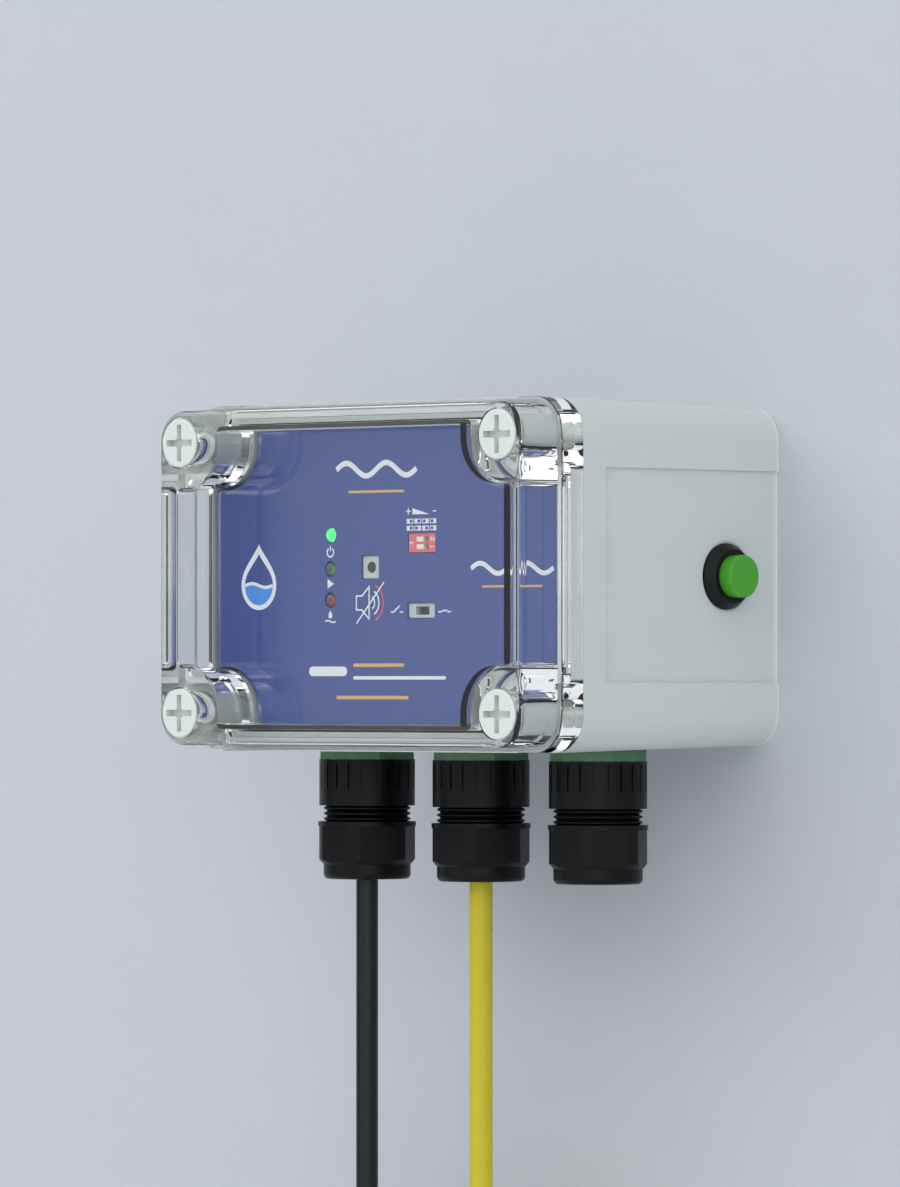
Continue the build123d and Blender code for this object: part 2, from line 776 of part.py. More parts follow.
# Terminal blocks along the board's lower edge, open to the cable entries
entry_level = board_back - terminal_entry_from_board
terminals = {
    "power_terminal": (power_terminal_x, power_ways),
    "sensor_terminal": (sensor_terminal_x, sensor_ways),
    "contact_terminal": (contact_terminal_x, contact_ways),
}
terminal_bottom = terminal_z - terminal_height / 2
for name, (x, ways) in terminals.items():
    with BuildPart() as terminal:
        with BuildSketch(wall_plane(board_back)):
            with Locations((x, terminal_z)):
                Rectangle(ways * terminal_pitch, terminal_height)
        extrude(amount=-terminal_depth)
        terminal_rim = terminal.faces().sort_by(Axis.Y)[-1].edges().filter_by(Axis.X)
        chamfer(terminal_rim, length=terminal_chamfer)
        with BuildSketch(Plane.XY.offset(terminal_bottom)):
            with Locations((x, -entry_level)):
                with GridLocations(terminal_pitch, 0, ways, 1):
                    Circle(terminal_entry_diameter / 2)
        extrude(amount=terminal_entry_depth, mode=Mode.SUBTRACT)
        with BuildSketch(wall_plane(board_back - terminal_depth)):
            with Locations((x, terminal_z)):
                with GridLocations(terminal_pitch, 0, ways, 1):
                    Circle(terminal_screw_diameter / 2)
        extrude(amount=terminal_screw_depth, mode=Mode.SUBTRACT)
    save(terminal, name)

# Cable glands: washer, body, rubber seal, dome nut and the locknut inside the box
body_top = seat_z - washer_thickness
neck_top = body_top - gland_body_height
nut_top = neck_top - neck_gap
nut_hex_bottom = nut_top - nut_hex_height
gland_bottom = nut_hex_bottom - nut_collar_height
seal_top = gland_bottom + nut_collar_height / 2 + seal_length
seal_socket = seal_outer_diameter / 2 + seal_clearance
thread_end = nut_top - nut_thread_depth + locknut_clearance
inside_wall_z = -cavity_half_height
crests = int(neck_gap / neck_pitch)
gland_sides = {
    "left": (entry_xs[0], power_lead_diameter),
    "middle": (entry_xs[1], sensor_lead_diameter),
    "right": (entry_xs[2], spare_seal_bore),
}
for side, (x, seal_bore) in gland_sides.items():
    profile_plane = Plane(origin=(x, -entry_from_wall, 0), x_dir=(1, 0, 0), z_dir=(0, -1, 0))
    gland_axis = Axis((x, -entry_from_wall, 0), (0, 0, 1))

    with BuildPart() as gland_washer:
        with BuildSketch(Plane.XY.offset(seat_z)):
            with Locations((x, -entry_from_wall)):
                RegularPolygon(washer_across_corners / 2, washer_sides)
                Circle(entry_hole_diameter / 2, mode=Mode.SUBTRACT)
        extrude(amount=-washer_thickness)
    save(gland_washer, f"gland_washer_{side}")

    with BuildPart() as gland_body:
        with BuildSketch(profile_plane):
            with BuildLine():
                body_r = gland_body_diameter / 2
                thread_r = gland_thread_diameter / 2
                crest_r = neck_crest_diameter / 2
                root_r = neck_root_diameter / 2
                nut_r = nut_thread_diameter / 2 - locknut_clearance
                outline = [
                    (gland_bore / 2, seat_z + gland_thread_length),
                    (thread_r - neck_pitch / 2, seat_z + gland_thread_length),
                    (thread_r, seat_z + gland_thread_length - neck_pitch / 2),
                    (thread_r, body_top),
                    (body_r, body_top),
                    (body_r, neck_top),
                    (root_r, neck_top),
                ]
                for crest in range(crests):
                    top = neck_top - crest * neck_pitch
                    crest_middle = top - neck_pitch / 2
                    outline.append((crest_r, crest_middle + neck_crest_width / 2))
                    outline.append((crest_r, crest_middle - neck_crest_width / 2))
                    outline.append((root_r, top - neck_pitch))
                outline += [
                    (nut_r, nut_top),
                    (nut_r, thread_end),
                    (seal_socket, thread_end),
                    (seal_socket, seal_top + seal_clearance),
                    (gland_bore / 2, seal_top + seal_clearance),
                ]
                Polyline(outline, close=True)
            make_face()
        revolve(axis=gland_axis)
        # Narrow grooves round the upper part, for grip
        with BuildSketch(Plane.XY.offset(body_top - grip_collar)):
            with Locations((x, -entry_from_wall)):
                with PolarLocations(gland_body_diameter / 2, grip_slots, grip_slot_turn):
                    Rectangle(2 * grip_slot_depth, grip_slot_width)
        extrude(amount=-grip_slot_length, mode=Mode.SUBTRACT)
    save(gland_body, f"gland_body_{side}")

    with BuildPart() as gland_seal:
        with BuildSketch(Plane.XY.offset(seal_top)):
            with Locations((x, -entry_from_wall)):
                Circle(seal_outer_diameter / 2)
                Circle(seal_bore / 2 + seal_clearance, mode=Mode.SUBTRACT)
        extrude(amount=-seal_length)
    save(gland_seal, f"gland_seal_{side}")

    with BuildPart() as gland_nut:
        with BuildSketch(Plane.XY.offset(nut_top)):
            with Locations((x, -entry_from_wall)):
                RegularPolygon(nut_across_flats / 2, 6, major_radius=False)
                Circle(nut_across_corners / 2, mode=Mode.INTERSECT)
        extrude(amount=-nut_hex_height)
        # The lower end is turned to a cone, which cuts an arc into each flat
        with BuildSketch(profile_plane):
            with BuildLine():
                corner_r = nut_across_corners / 2
                Polyline(
                    (nut_collar_diameter / 2, nut_hex_bottom),
                    (corner_r + nut_chamfer, nut_hex_bottom),
                    (corner_r + nut_chamfer, nut_hex_bottom + 2 * nut_chamfer),
                    close=True,
                )
            make_face()
        revolve(axis=gland_axis, mode=Mode.SUBTRACT)
        with BuildSketch(Plane.XY.offset(nut_top)):
            with Locations((x, -entry_from_wall)):
                Circle(nut_rim_diameter / 2)
        extrude(amount=-nut_rim_height)
        with BuildSketch(Plane.XY.offset(nut_hex_bottom)):
            with Locations((x, -entry_from_wall)):
                Circle(nut_collar_diameter / 2)
        extrude(amount=-nut_collar_height)
        nut_rim = gland_nut.faces().sort_by(Axis.Z)[0].edges()
        fillet(nut_rim, radius=nut_collar_round)
        with BuildSketch(Plane.XY.offset(nut_top)):
            with Locations((x, -entry_from_wall)):
                Circle(nut_thread_diameter / 2)
        extrude(amount=-nut_thread_depth, mode=Mode.SUBTRACT)
        with BuildSketch(Plane.XY.offset(nut_top)):
            with Locations((x, -entry_from_wall)):
                Circle(seal_socket)
        seal_end = nut_top - (seal_top - seal_length)
        extrude(amount=-seal_end - seal_clearance, mode=Mode.SUBTRACT)
        with BuildSketch(Plane.XY.offset(nut_top)):
            with Locations((x, -entry_from_wall)):
                Circle(nut_mouth_diameter / 2)
        extrude(amount=-far, mode=Mode.SUBTRACT)
    save(gland_nut, f"gland_nut_{side}")

    with BuildPart() as gland_locknut:
        with BuildSketch(Plane.XY.offset(inside_wall_z)):
            with Locations((x, -entry_from_wall)):
                RegularPolygon(locknut_across_flats / 2, 6, major_radius=False)
                Circle(gland_thread_diameter / 2 + locknut_clearance, mode=Mode.SUBTRACT)
        extrude(amount=locknut_thickness)
    save(gland_locknut, f"gland_locknut_{side}")

# Push button: a bezel and shank through the wall, a nut inside, and the cap that travels
bezel_front = bezel_seat + bezel_height
cap_front = bezel_front + button_cap_proud
cap_back = cap_front - button_cap_length
button_bore = button_cap_diameter / 2 + button_bore_clearance
button_plane = Plane(origin=(0, -button_from_wall, button_z), x_dir=(1, 0, 0), z_dir=(0, -1, 0))
button_axis = Axis((0, -button_from_wall, button_z), (1, 0, 0))
with BuildPart() as button_bezel:
    with BuildSketch(button_plane):
        with BuildLine():
            Polyline(
                (shank_end, 0),
                (shank_end, button_shank_diameter / 2),
                (bezel_seat, button_shank_diameter / 2),
                (bezel_seat, bezel_base_diameter / 2),
                (bezel_seat + bezel_rim_height, bezel_base_diameter / 2),
                (bezel_front, bezel_top_diameter / 2),
                (bezel_front, button_bore),
                (cap_back - button_travel - button_floor_room, button_bore),
                (cap_back - button_travel - button_floor_room, 0),
                close=True,
            )
        make_face()
    revolve(axis=button_axis)
    # Two solder tabs
    with BuildSketch(Plane.YZ.offset(shank_end)):
        with Locations((-button_from_wall, button_z)):
            with GridLocations(0, button_tab_spacing, 1, 2):
                Rectangle(button_tab_width, button_tab_thickness)
    extrude(amount=-button_tab_length)
save(button_bezel, "button_bezel")

with BuildPart() as button_cap:
    with BuildSketch(Plane.YZ.offset(cap_back)):
        with Locations((-button_from_wall, button_z)):
            Circle(button_cap_diameter / 2)
    extrude(amount=button_cap_length)
    cap_rim = button_cap.faces().sort_by(Axis.X)[-1].edges()
    fillet(cap_rim, radius=button_cap_round)
save(button_cap, "button_cap")

with BuildPart() as button_nut:
    with BuildSketch(Plane.YZ.offset(cavity_half_width)):
        with Locations((-button_from_wall, button_z)):
            RegularPolygon(button_nut_across_flats / 2, 6, major_radius=False)
            Circle(button_shank_diameter / 2 + locknut_clearance, mode=Mode.SUBTRACT)
    extrude(amount=-button_nut_thickness)
save(button_nut, "button_nut")


def swept_tube(points, radius_of_bends, diameter):
    """A tube along a route of straight runs through the points, joined by tangent arcs."""
    with BuildPart() as tube:
        with BuildLine() as route:
            if len(points) > 2:
                FilletPolyline(*points, radius=radius_of_bends)
            else:
                Line(*points)
        with BuildSketch(Plane(origin=route.line @ 0, z_dir=route.line % 0)):
            Circle(diameter / 2)
        sweep(path=route.line)
    return tube.part


def bend_radii(points):
    """The radius at each inner point: a share of the shorter run over the tangent of half the turn."""
    radii = []
    for before, here, after in zip(points, points[1:], points[2:]):
        run_in = Vector(*here) - Vector(*before)
        run_out = Vector(*after) - Vector(*here)
        turn = radians(run_in.get_angle(run_out))
        shorter = min(run_in.length, run_out.length)
        radii.append(bend_share * shorter * cos(turn / 2) / sin(turn / 2))
    return radii


# Leads: each hangs straight from its gland, and the rest is wound into a tied coil below
lead_top = gland_bottom + lead_inside_gland
bend_z = gland_bottom - lead_drop
coil_y = -entry_from_wall
coil_z = bend_z - coil_drop
leads = {
    "power_lead": (entry_xs[0], power_lead_diameter),
    "sensor_lead": (entry_xs[1], sensor_lead_diameter),
}
for name, (x, diameter) in leads.items():
    turn_pitch = diameter + turn_gap
    coil_radius = coil_width_in_diameters * diameter / 2
    outer_turn = coil_radius + turn_pitch * (coil_layers - 1) / 2
    first_column = x - turn_pitch * (coil_columns - 1) / 2
    meet = radians(meet_angle)
    meet_point = (first_column, coil_y + outer_turn * sin(meet), coil_z + outer_turn * cos(meet))
    shift_x = x + shift_share * (first_column - x)
    drop_route = [
        (x, -entry_from_wall, lead_top),
        (x, -entry_from_wall, bend_z),
        (shift_x, -entry_from_wall + shift_back, bend_z - shift_down),
        meet_point,
    ]
    tail_y = coil_y + outer_turn
    tail_x = first_column + turn_pitch
    tail_route = [(tail_x, tail_y, coil_z), (tail_x, tail_y, coil_z - tail_length)]
    radii = bend_radii(drop_route)
    print(name, "bend radii", [round(r, 1) for r in radii], "diameter", diameter)
    drop_tube = swept_tube(drop_route, radii, diameter)
    tail_tube = swept_tube(tail_route, 0, diameter)
    with BuildPart() as lead:
        add(drop_tube)
        add(tail_tube)
    save(lead, name)

    section_height = coil_layers * turn_pitch
    section_width = coil_columns * turn_pitch
    ring_plane = Plane(origin=(x, coil_y, coil_z), x_dir=(1, 0, 0), z_dir=(0, -1, 0))
    ring_axis = Axis((x, coil_y, coil_z), (1, 0, 0))
    with BuildPart() as coil:
        with BuildSketch(ring_plane):
            with Locations((0, coil_radius)):
                RectangleRounded(section_width, section_height, diameter / 2)
        revolve(axis=ring_axis)
    save(coil, f"{name}_coil")

    # Tie: a band round the bundle of turns, just past the place where the lead joins it
    angle = radians(tie_angle)
    along_turn = (0, cos(angle), -sin(angle))
    tie_centre = (x, coil_y + coil_radius * sin(angle), coil_z + coil_radius * cos(angle))
    curve_room = tie_width**2 / (8 * coil_radius)
    inner_width = section_width + 2 * turn_gap
    inner_height = section_height + 2 * turn_gap + 2 * curve_room
    with BuildPart() as tie:
        with BuildSketch(Plane(origin=tie_centre, x_dir=(1, 0, 0), z_dir=along_turn)):
            RectangleRounded(
                inner_width + 2 * tie_thickness, inner_height + 2 * tie_thickness, diameter / 2
            )
            RectangleRounded(inner_width, inner_height, diameter / 2, mode=Mode.SUBTRACT)
        extrude(amount=tie_width / 2, both=True)
    save(tie, f"{name}_tie")

# Plug of the power lead: a moulded grip with a ribbed neck and a round metal contact
power_pitch = power_lead_diameter + turn_gap
power_turn = coil_width_in_diameters * power_lead_diameter / 2 + power_pitch * (coil_layers - 1) / 2
power_tail_x = entry_xs[0] - power_pitch * (coil_columns - 3) / 2
plug_top = coil_z - tail_length
plug_plane = Plane(origin=(power_tail_x, coil_y + power_turn, 0), x_dir=(1, 0, 0), z_dir=(0, -1, 0))
plug_axis = Axis((power_tail_x, coil_y + power_turn, 0), (0, 0, 1))
neck_bottom = plug_top - plug_neck_length
grip_bottom = neck_bottom - plug_length
with BuildPart() as power_plug:
    with BuildSketch(plug_plane):
        with BuildLine():
            Polyline(
                (0, plug_top),
                (plug_neck_diameter / 2, plug_top),
                (plug_diameter / 2 - plug_round, neck_bottom),
                (plug_diameter / 2, neck_bottom - plug_round),
                (plug_diameter / 2, grip_bottom + plug_round),
                (plug_diameter / 2 - plug_round, grip_bottom),
                (plug_tip_diameter / 2, grip_bottom),
                (plug_tip_diameter / 2, grip_bottom - plug_tip_length),
                (plug_tip_bore / 2, grip_bottom - plug_tip_length),
                (plug_tip_bore / 2, grip_bottom),
                (0, grip_bottom),
                close=True,
            )
        make_face()
    revolve(axis=plug_axis)
save(power_plug, "power_plug")

# Connector of the sensor lead: a fluted coupling ring round a slim body
sensor_pitch = sensor_lead_diameter + turn_gap
sensor_turn = coil_width_in_diameters * sensor_lead_diameter / 2 + sensor_pitch * (coil_layers - 1) / 2
sensor_tail_x = entry_xs[1] - sensor_pitch * (coil_columns - 3) / 2
connector_plane = Plane(origin=(sensor_tail_x, coil_y + sensor_turn, 0), x_dir=(1, 0, 0), z_dir=(0, -1, 0))
connector_axis = Axis((sensor_tail_x, coil_y + sensor_turn, 0), (0, 0, 1))
connector_neck = plug_top - plug_neck_length
connector_step = connector_neck - connector_body_length
connector_end = connector_step - connector_ring_length
with BuildPart() as sensor_connector:
    with BuildSketch(connector_plane):
        with BuildLine():
            Polyline(
                (0, plug_top),
                (plug_neck_diameter / 2, plug_top),
                (connector_body_diameter / 2, connector_neck),
                (connector_body_diameter / 2, connector_step),
                (connector_ring_diameter / 2, connector_step),
                (connector_ring_diameter / 2, connector_end),
                (connector_bore / 2, connector_end),
                (connector_bore / 2, connector_end + connector_bore_depth),
                (0, connector_end + connector_bore_depth),
                close=True,
            )
        make_face()
    revolve(axis=connector_axis)
    with BuildSketch(Plane.XY.offset(connector_step)):
        with Locations((sensor_tail_x, coil_y + sensor_turn)):
            with PolarLocations(connector_ring_diameter / 2, connector_flutes):
                Circle(connector_flute_width / 2)
    extrude(amount=-connector_ring_length, mode=Mode.SUBTRACT)
save(sensor_connector, "sensor_connector")

# Wires inside the box: the stripped cores of each lead, up to its terminal block
core_level = terminal_bottom - core_bend
core_rise = seat_z + gland_thread_length + core_bend
cores = {
    "power_cores": (entry_xs[0], power_terminal_x),
    "sensor_cores": (entry_xs[1], sensor_terminal_x),
}
for name, (x, terminal_x) in cores.items():
    tubes = []
    for side in (-1, 1):
        start_x = x + side * core_spacing
        end_x = terminal_x + side * terminal_pitch / 2
        core_route = [
            (start_x, -entry_from_wall, lead_top),
            (start_x, -entry_from_wall, core_rise),
            (end_x, -entry_level, core_level),
            (end_x, -entry_level, terminal_bottom + core_in_terminal),
        ]
        tubes.append(swept_tube(core_route, core_bend, core_diameter))
    with BuildPart() as core_pair:
        add(tubes)
    save(core_pair, name)

# Wires from the push button's tabs to the back of the board
wires = []
for side in (-1, 1):
    wire_z = button_z + side * button_tab_spacing / 2
    wire_route = [
        (tab_end, -button_from_wall, wire_z),
        (board_joint_x, -button_from_wall, wire_z),
        (board_joint_x, -board_back, wire_z),
    ]
    wires.append(swept_tube(wire_route, core_bend, core_diameter))
with BuildPart() as button_wires:
    add(wires)
save(button_wires, "button_wires")

turns = coil_columns * coil_layers + (90 - meet_angle) / 360
for name, (x, diameter) in leads.items():
    wound = turns * pi * coil_width_in_diameters * diameter
    hung = lead_inside_gland + lead_drop + hypot(shift_down, coil_drop / 2) + tail_length
    print(name, "length about", round(wound + hung), "of which wound", round(wound))
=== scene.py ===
# %% [markdown]
# # A leak detection controller, dressed for a photograph
#
# The solid model holds every piece of the controller: the box, its clear lid, the glands, the switches.
# This lesson loads those pieces as a fixed frame, hangs the two leads, prints the face plate's symbols
# and gives each piece a finish made from nodes. Everything is in metres. X runs to the right, Y into
# the wall and Z up, and the wall is at Y = 0.

# %% Load the frame
import math

import bpy
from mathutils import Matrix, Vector


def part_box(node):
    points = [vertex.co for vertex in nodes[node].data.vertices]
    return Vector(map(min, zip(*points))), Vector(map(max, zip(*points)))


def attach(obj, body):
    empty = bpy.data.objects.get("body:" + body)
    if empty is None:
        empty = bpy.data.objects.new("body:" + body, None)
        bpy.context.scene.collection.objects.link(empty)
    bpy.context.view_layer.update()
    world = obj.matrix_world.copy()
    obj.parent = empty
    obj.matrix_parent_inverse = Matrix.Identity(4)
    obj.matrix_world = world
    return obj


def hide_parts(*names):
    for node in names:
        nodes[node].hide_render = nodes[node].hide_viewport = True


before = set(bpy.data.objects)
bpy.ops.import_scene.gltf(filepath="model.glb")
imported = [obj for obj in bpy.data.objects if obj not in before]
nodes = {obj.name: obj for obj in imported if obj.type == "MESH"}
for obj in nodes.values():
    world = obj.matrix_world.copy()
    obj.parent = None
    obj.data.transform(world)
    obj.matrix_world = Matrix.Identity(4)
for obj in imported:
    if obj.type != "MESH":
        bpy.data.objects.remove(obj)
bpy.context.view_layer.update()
MM = 0.001

# %% [markdown]
# ## The camera
#
# The picture is taken from the right, level with the glands, from about two metres off with a long
# lens, so upright edges stay upright and the two walls that show shrink only a little. The focal
# length and the row that the horizon falls on are given in pixels of the photograph. The camera looks
# slightly up, which puts the box above the middle of the picture, as the photograph has it.

# %% Camera
PICTURE_HEIGHT = 1187
FOCAL_LENGTH = 8497.42
HORIZON_ROW = 680.0
TURN = math.radians(44.91)
CAMERA_PLACE = Vector((1380.64, -1433.14, -23.59)) * MM
SENSOR_SIZE = 36.0
NEAREST, FARTHEST = 0.05, 20.0

rise = (HORIZON_ROW - PICTURE_HEIGHT / 2) / FOCAL_LENGTH
ahead = Vector((-math.sin(TURN), math.cos(TURN), rise))
camera = bpy.data.objects.new("camera", bpy.data.cameras.new("camera"))
bpy.context.scene.collection.objects.link(camera)
camera.location = CAMERA_PLACE
camera.rotation_mode = "QUATERNION"
camera.rotation_quaternion = ahead.to_track_quat("-Z", "Y")
camera.data.sensor_width = SENSOR_SIZE
camera.data.lens = FOCAL_LENGTH * SENSOR_SIZE / PICTURE_HEIGHT
camera.data.clip_start, camera.data.clip_end = NEAREST, FARTHEST
bpy.context.scene.camera = camera
print("camera", [round(v, 3) for v in camera.location], "lens", round(camera.data.lens, 1), "mm")

# %% [markdown]
# ## The two leads
#
# Each lead is a length of round PVC cable. It comes out of its gland pointing straight down, hangs
# straight for as long as the photograph shows it, and the rest of its two metres is wound into a
# neat coil below the picture, with a tie round it and a connector on the end.
# A cable bends smoothly, so its line is one NURBS curve. The points of the free part are those of the
# solid model's route, with one more on the straight run, close above the bend, that keeps the run
# straight. The turns come from a loop: they go once round outside, then from side to side on the
# inner layer, and back on the outer one.

# %% Measurements of the leads
POWER_DIAMETER, POWER_LENGTH = 5.2 * MM, 2.0
SENSOR_DIAMETER, SENSOR_LENGTH = 5.4 * MM, 2.07
EXIT_FROM_WALL = 38.0 * MM
LEAD_TOP = -41.6 * MM
BEND_LEVEL = -150.1 * MM
STRAIGHT_POINT = 17.0 * MM
COIL_LEVEL = -203.9 * MM
COIL_COLUMNS = 5
COIL_WIDTH_IN_DIAMETERS = 11.0
TURN_GAP = 0.2 * MM
TAIL = 26.0 * MM
POINTS_A_TURN = 16
MEET_ANGLE = math.radians(45)
CROSSING = 1 / 6
SHIFT_SHARE = 0.65
SHIFT_BACK = 7.0 * MM
SHIFT_DOWN = 14.0 * MM
CURVE_STEPS = 5


def coil_places(columns):
    """The (column, layer) of each turn in winding order: layer 1 is the outer one."""
    inner = [(column, 0) for column in range(columns)]
    outer = [(column, 1) for column in reversed(range(1, columns))]
    return [(0, 1)] + inner + outer


print("turns wind in this order:", coil_places(COIL_COLUMNS))


# %% Route of a lead
def lead_route(x, diameter):
    """Control points of a lead, from inside its gland to its connector."""
    pitch = diameter + TURN_GAP
    middle_radius = COIL_WIDTH_IN_DIAMETERS * diameter / 2
    first_x = x - pitch * (COIL_COLUMNS - 1) / 2
    step = 2 * math.pi / POINTS_A_TURN
    # A quadratic spline runs inside its points, so they stand out by this much.
    stand_out = 1 / (0.75 + 0.25 * math.cos(step))
    places = coil_places(COIL_COLUMNS)

    def on_ring(turned):
        """The point after that many turns, moving to the next place in the last share of a turn."""
        turn = min(int(turned), len(places) - 1)
        share = min(max((turned - turn - (1 - CROSSING)) / CROSSING, 0), 1)
        follows = places[min(turn + 1, len(places) - 1)]
        column = places[turn][0] + share * (follows[0] - places[turn][0])
        layer = places[turn][1] + share * (follows[1] - places[turn][1])
        radius = (middle_radius + (layer - 0.5) * pitch) * stand_out
        angle = MEET_ANGLE + 2 * math.pi * turned
        y = -EXIT_FROM_WALL + radius * math.sin(angle)
        z = COIL_LEVEL + radius * math.cos(angle)
        return (first_x + column * pitch, y, z)

    shift_x = x + SHIFT_SHARE * (first_x - x)
    points = [
        (x, -EXIT_FROM_WALL, LEAD_TOP),
        (x, -EXIT_FROM_WALL, BEND_LEVEL + STRAIGHT_POINT),
        (x, -EXIT_FROM_WALL, BEND_LEVEL),
        (shift_x, -EXIT_FROM_WALL + SHIFT_BACK, BEND_LEVEL - SHIFT_DOWN),
    ]
    whole = len(places) * POINTS_A_TURN
    points += [on_ring(n / POINTS_A_TURN) for n in range(whole + 1)]
    tail_x = first_x + places[-1][0] * pitch
    tail_y = -EXIT_FROM_WALL + middle_radius + pitch / 2
    points += [(tail_x, tail_y, COIL_LEVEL - share * TAIL) for share in (0, 0.5, 1)]
    return points


print("a lead's route has", len(lead_route(0, SENSOR_DIAMETER)), "points")


# %% Hang the leads
def hang_lead(name, x, diameter):
    """Makes a lead as one smooth curve. Its points hold its radius,
    so the bevel of the curve itself is 1."""
    curve = bpy.data.curves.new(name, "CURVE")
    curve.dimensions = "3D"
    curve.bevel_depth = 1.0
    curve.bevel_resolution = CURVE_STEPS
    curve.resolution_u = CURVE_STEPS
    curve.use_fill_caps = True
    points = lead_route(x, diameter)
    line = curve.splines.new("NURBS")
    line.points.add(len(points) - 1)
    for point, place in zip(line.points, points):
        point.co = (*place, 1)
        point.radius = diameter / 2
    line.order_u = 3
    line.use_endpoint_u = True
    lead = bpy.data.objects.new(name, curve)
    bpy.context.scene.collection.objects.link(lead)
    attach(lead, "controller")
    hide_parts(name, f"{name}_coil")
    return lead


def middle(node):
    """The middle of a node's box."""
    low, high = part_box(node)
    return (Vector(low) + Vector(high)) / 2


power_lead = hang_lead(
    "power_lead", middle("gland_nut_left").x, POWER_DIAMETER,
)
sensor_lead = hang_lead(
    "sensor_lead", middle("gland_nut_middle").x, SENSOR_DIAMETER,
)
print("leads hang at x =", [round(middle(n).x / MM, 1) for n in ("gland_nut_left", "gland_nut_middle")])

# %% [markdown]
# ## Node arithmetic
#
# A finish is a small sum: so much of one noise, times a strength, plus a base value. Written as a
# chain of Math nodes that is hard to read, so one class wraps a node's output and lets Python's own
# signs build the nodes. A second class holds one material, adds any other node, mixes colours with a
# Mix node, because a Math node would turn a colour grey, and mixes whole shaders by a mask.

# %% Wire
class Wire:
    """A node's output. Arithmetic on it adds Math nodes."""

    def __init__(self, finish, socket):
        self.finish, self.socket = finish, socket

    def math(self, operation, first, second):
        """Adds a Math node."""
        return self.finish.node("ShaderNodeMath", {"operation": operation}, {0: first, 1: second})

    def __add__(self, other):
        return self.math("ADD", self, other)

    def __sub__(self, other):
        return self.math("SUBTRACT", self, other)

    def __rsub__(self, other):
        return self.math("SUBTRACT", other, self)

    def __mul__(self, other):
        return self.math("MULTIPLY", self, other)

    def __gt__(self, other):
        return self.math("GREATER_THAN", self, other)

    def __lt__(self, other):
        return self.math("LESS_THAN", self, other)

    def size(self):
        """The number without its sign."""
        return self.math("ABSOLUTE", self, 0)

    def least(self, other):
        """The lesser of two numbers."""
        return self.math("MINIMUM", self, other)

    def distance(self, other):
        """The length of the line with these two sides."""
        return self.math("SQRT", self * self + other * other, 0)

    __radd__ = __add__
    __rmul__ = __mul__


print("a wire knows", [name for name in vars(Wire) if not name.startswith("_")])


# %% Finish
class Finish:
    """One material: a Principled shader, and the nodes that feed it."""

    def __init__(self, name, **numbers):
        self.material = bpy.data.materials.new(name)
        self.material.use_nodes = True
        self.tree = self.material.node_tree
        self.tree.nodes.clear()
        self.output = self.tree.nodes.new("ShaderNodeOutputMaterial")
        self.shader = self.tree.nodes.new("ShaderNodeBsdfPrincipled")
        self.tree.links.new(self.shader.outputs[0], self.output.inputs["Surface"])
        for socket, value in numbers.items():
            self.shader.inputs[socket.replace("_", " ")].default_value = value

    def node(self, kind, settings=None, inputs=None, output=0):
        """Adds a node. Its settings are made first, then its sockets get values or wires."""
        node = self.tree.nodes.new(kind)
        for name, value in (settings or {}).items():
            setattr(node, name, value)
        for name, value in (inputs or {}).items():
            self.feed(node.inputs[name], value)
        return Wire(self, node.outputs[output])

    def feed(self, socket, value):
        """Links a wire to a socket, or gives the socket a value of its own."""
        if isinstance(value, Wire):
            self.tree.links.new(value.socket, socket)
        else:
            socket.default_value = value

    def set(self, **wires):
        """Feeds sockets of the Principled shader."""
        for socket, value in wires.items():
            self.feed(self.shader.inputs[socket.replace("_", " ")], value)

    def place(self):
        """Where a point of the surface lies in the piece's own frame, in metres."""
        return self.node("ShaderNodeTexCoord", output="Object")

    def axis(self, letter):
        """One coordinate of the place."""
        return self.node("ShaderNodeSeparateXYZ", {}, {0: self.place()}, output=letter)

    def whole(self):
        """The Principled shader as a wire."""
        return Wire(self, self.shader.outputs[0])

    def noise(self, scale, detail=2.0, roughness=0.5):
        """Cloudy noise about 0.5, with that many clouds to the metre."""
        return self.node(
            "ShaderNodeTexNoise", {},
            {"Vector": self.place(), "Scale": scale, "Detail": detail, "Roughness": roughness},
        )

    def blend(self, share, first, second):
        """A mix of two colours."""
        return self.node(
            "ShaderNodeMix", {"data_type": "RGBA"}, {"Factor": share, 6: first, 7: second}, output=2
        )

    def either(self, share, first, second):
        """A mix of two shaders: the second one shows where the share is 1."""
        return self.node("ShaderNodeMixShader", {}, {0: share, 1: first, 2: second})

    def show(self, shader):
        """Makes a shader the material's surface."""
        self.feed(self.output.inputs["Surface"], shader)

    def slope(self, value, low, high):
        """0 below the first number, 1 above the second, smooth between."""
        return self.node(
            "ShaderNodeMapRange", {"interpolation_type": "SMOOTHSTEP"},
            {"Value": value, "From Min": low, "From Max": high},
        )

    def bump(self, height, depth, strength=1.0):
        """A normal that makes the surface look as uneven as the height says."""
        return self.node(
            "ShaderNodeBump", {}, {"Height": height, "Distance": depth, "Strength": strength}
        )


print("a finish knows", [name for name in vars(Finish) if not name.startswith("_")])

# %% [markdown]
# ## Moulded plastic
#
# Most of the controller is injection-moulded. A mould is spark-eroded or polished steel, so the plastic
# comes out even in colour, with a grain of a few hundredths of a millimetre and patches that are a
# little glossier. One function makes that for every moulded piece, from its colour, its gloss and how
# coarse its grain is: broad noise shifts the colour and the gloss by a few percent, and fine noise makes
# the grain.

# %% Moulded plastic
GRAIN_SIZE = 0.35 * MM
PATCH_SIZE = 14.0 * MM
PATCH_GLOSS = 0.12


def shade(colour, share):
    """A colour made darker or lighter by a factor."""
    return tuple(min(c * share, 1.0) for c in colour[:3]) + (1.0,)


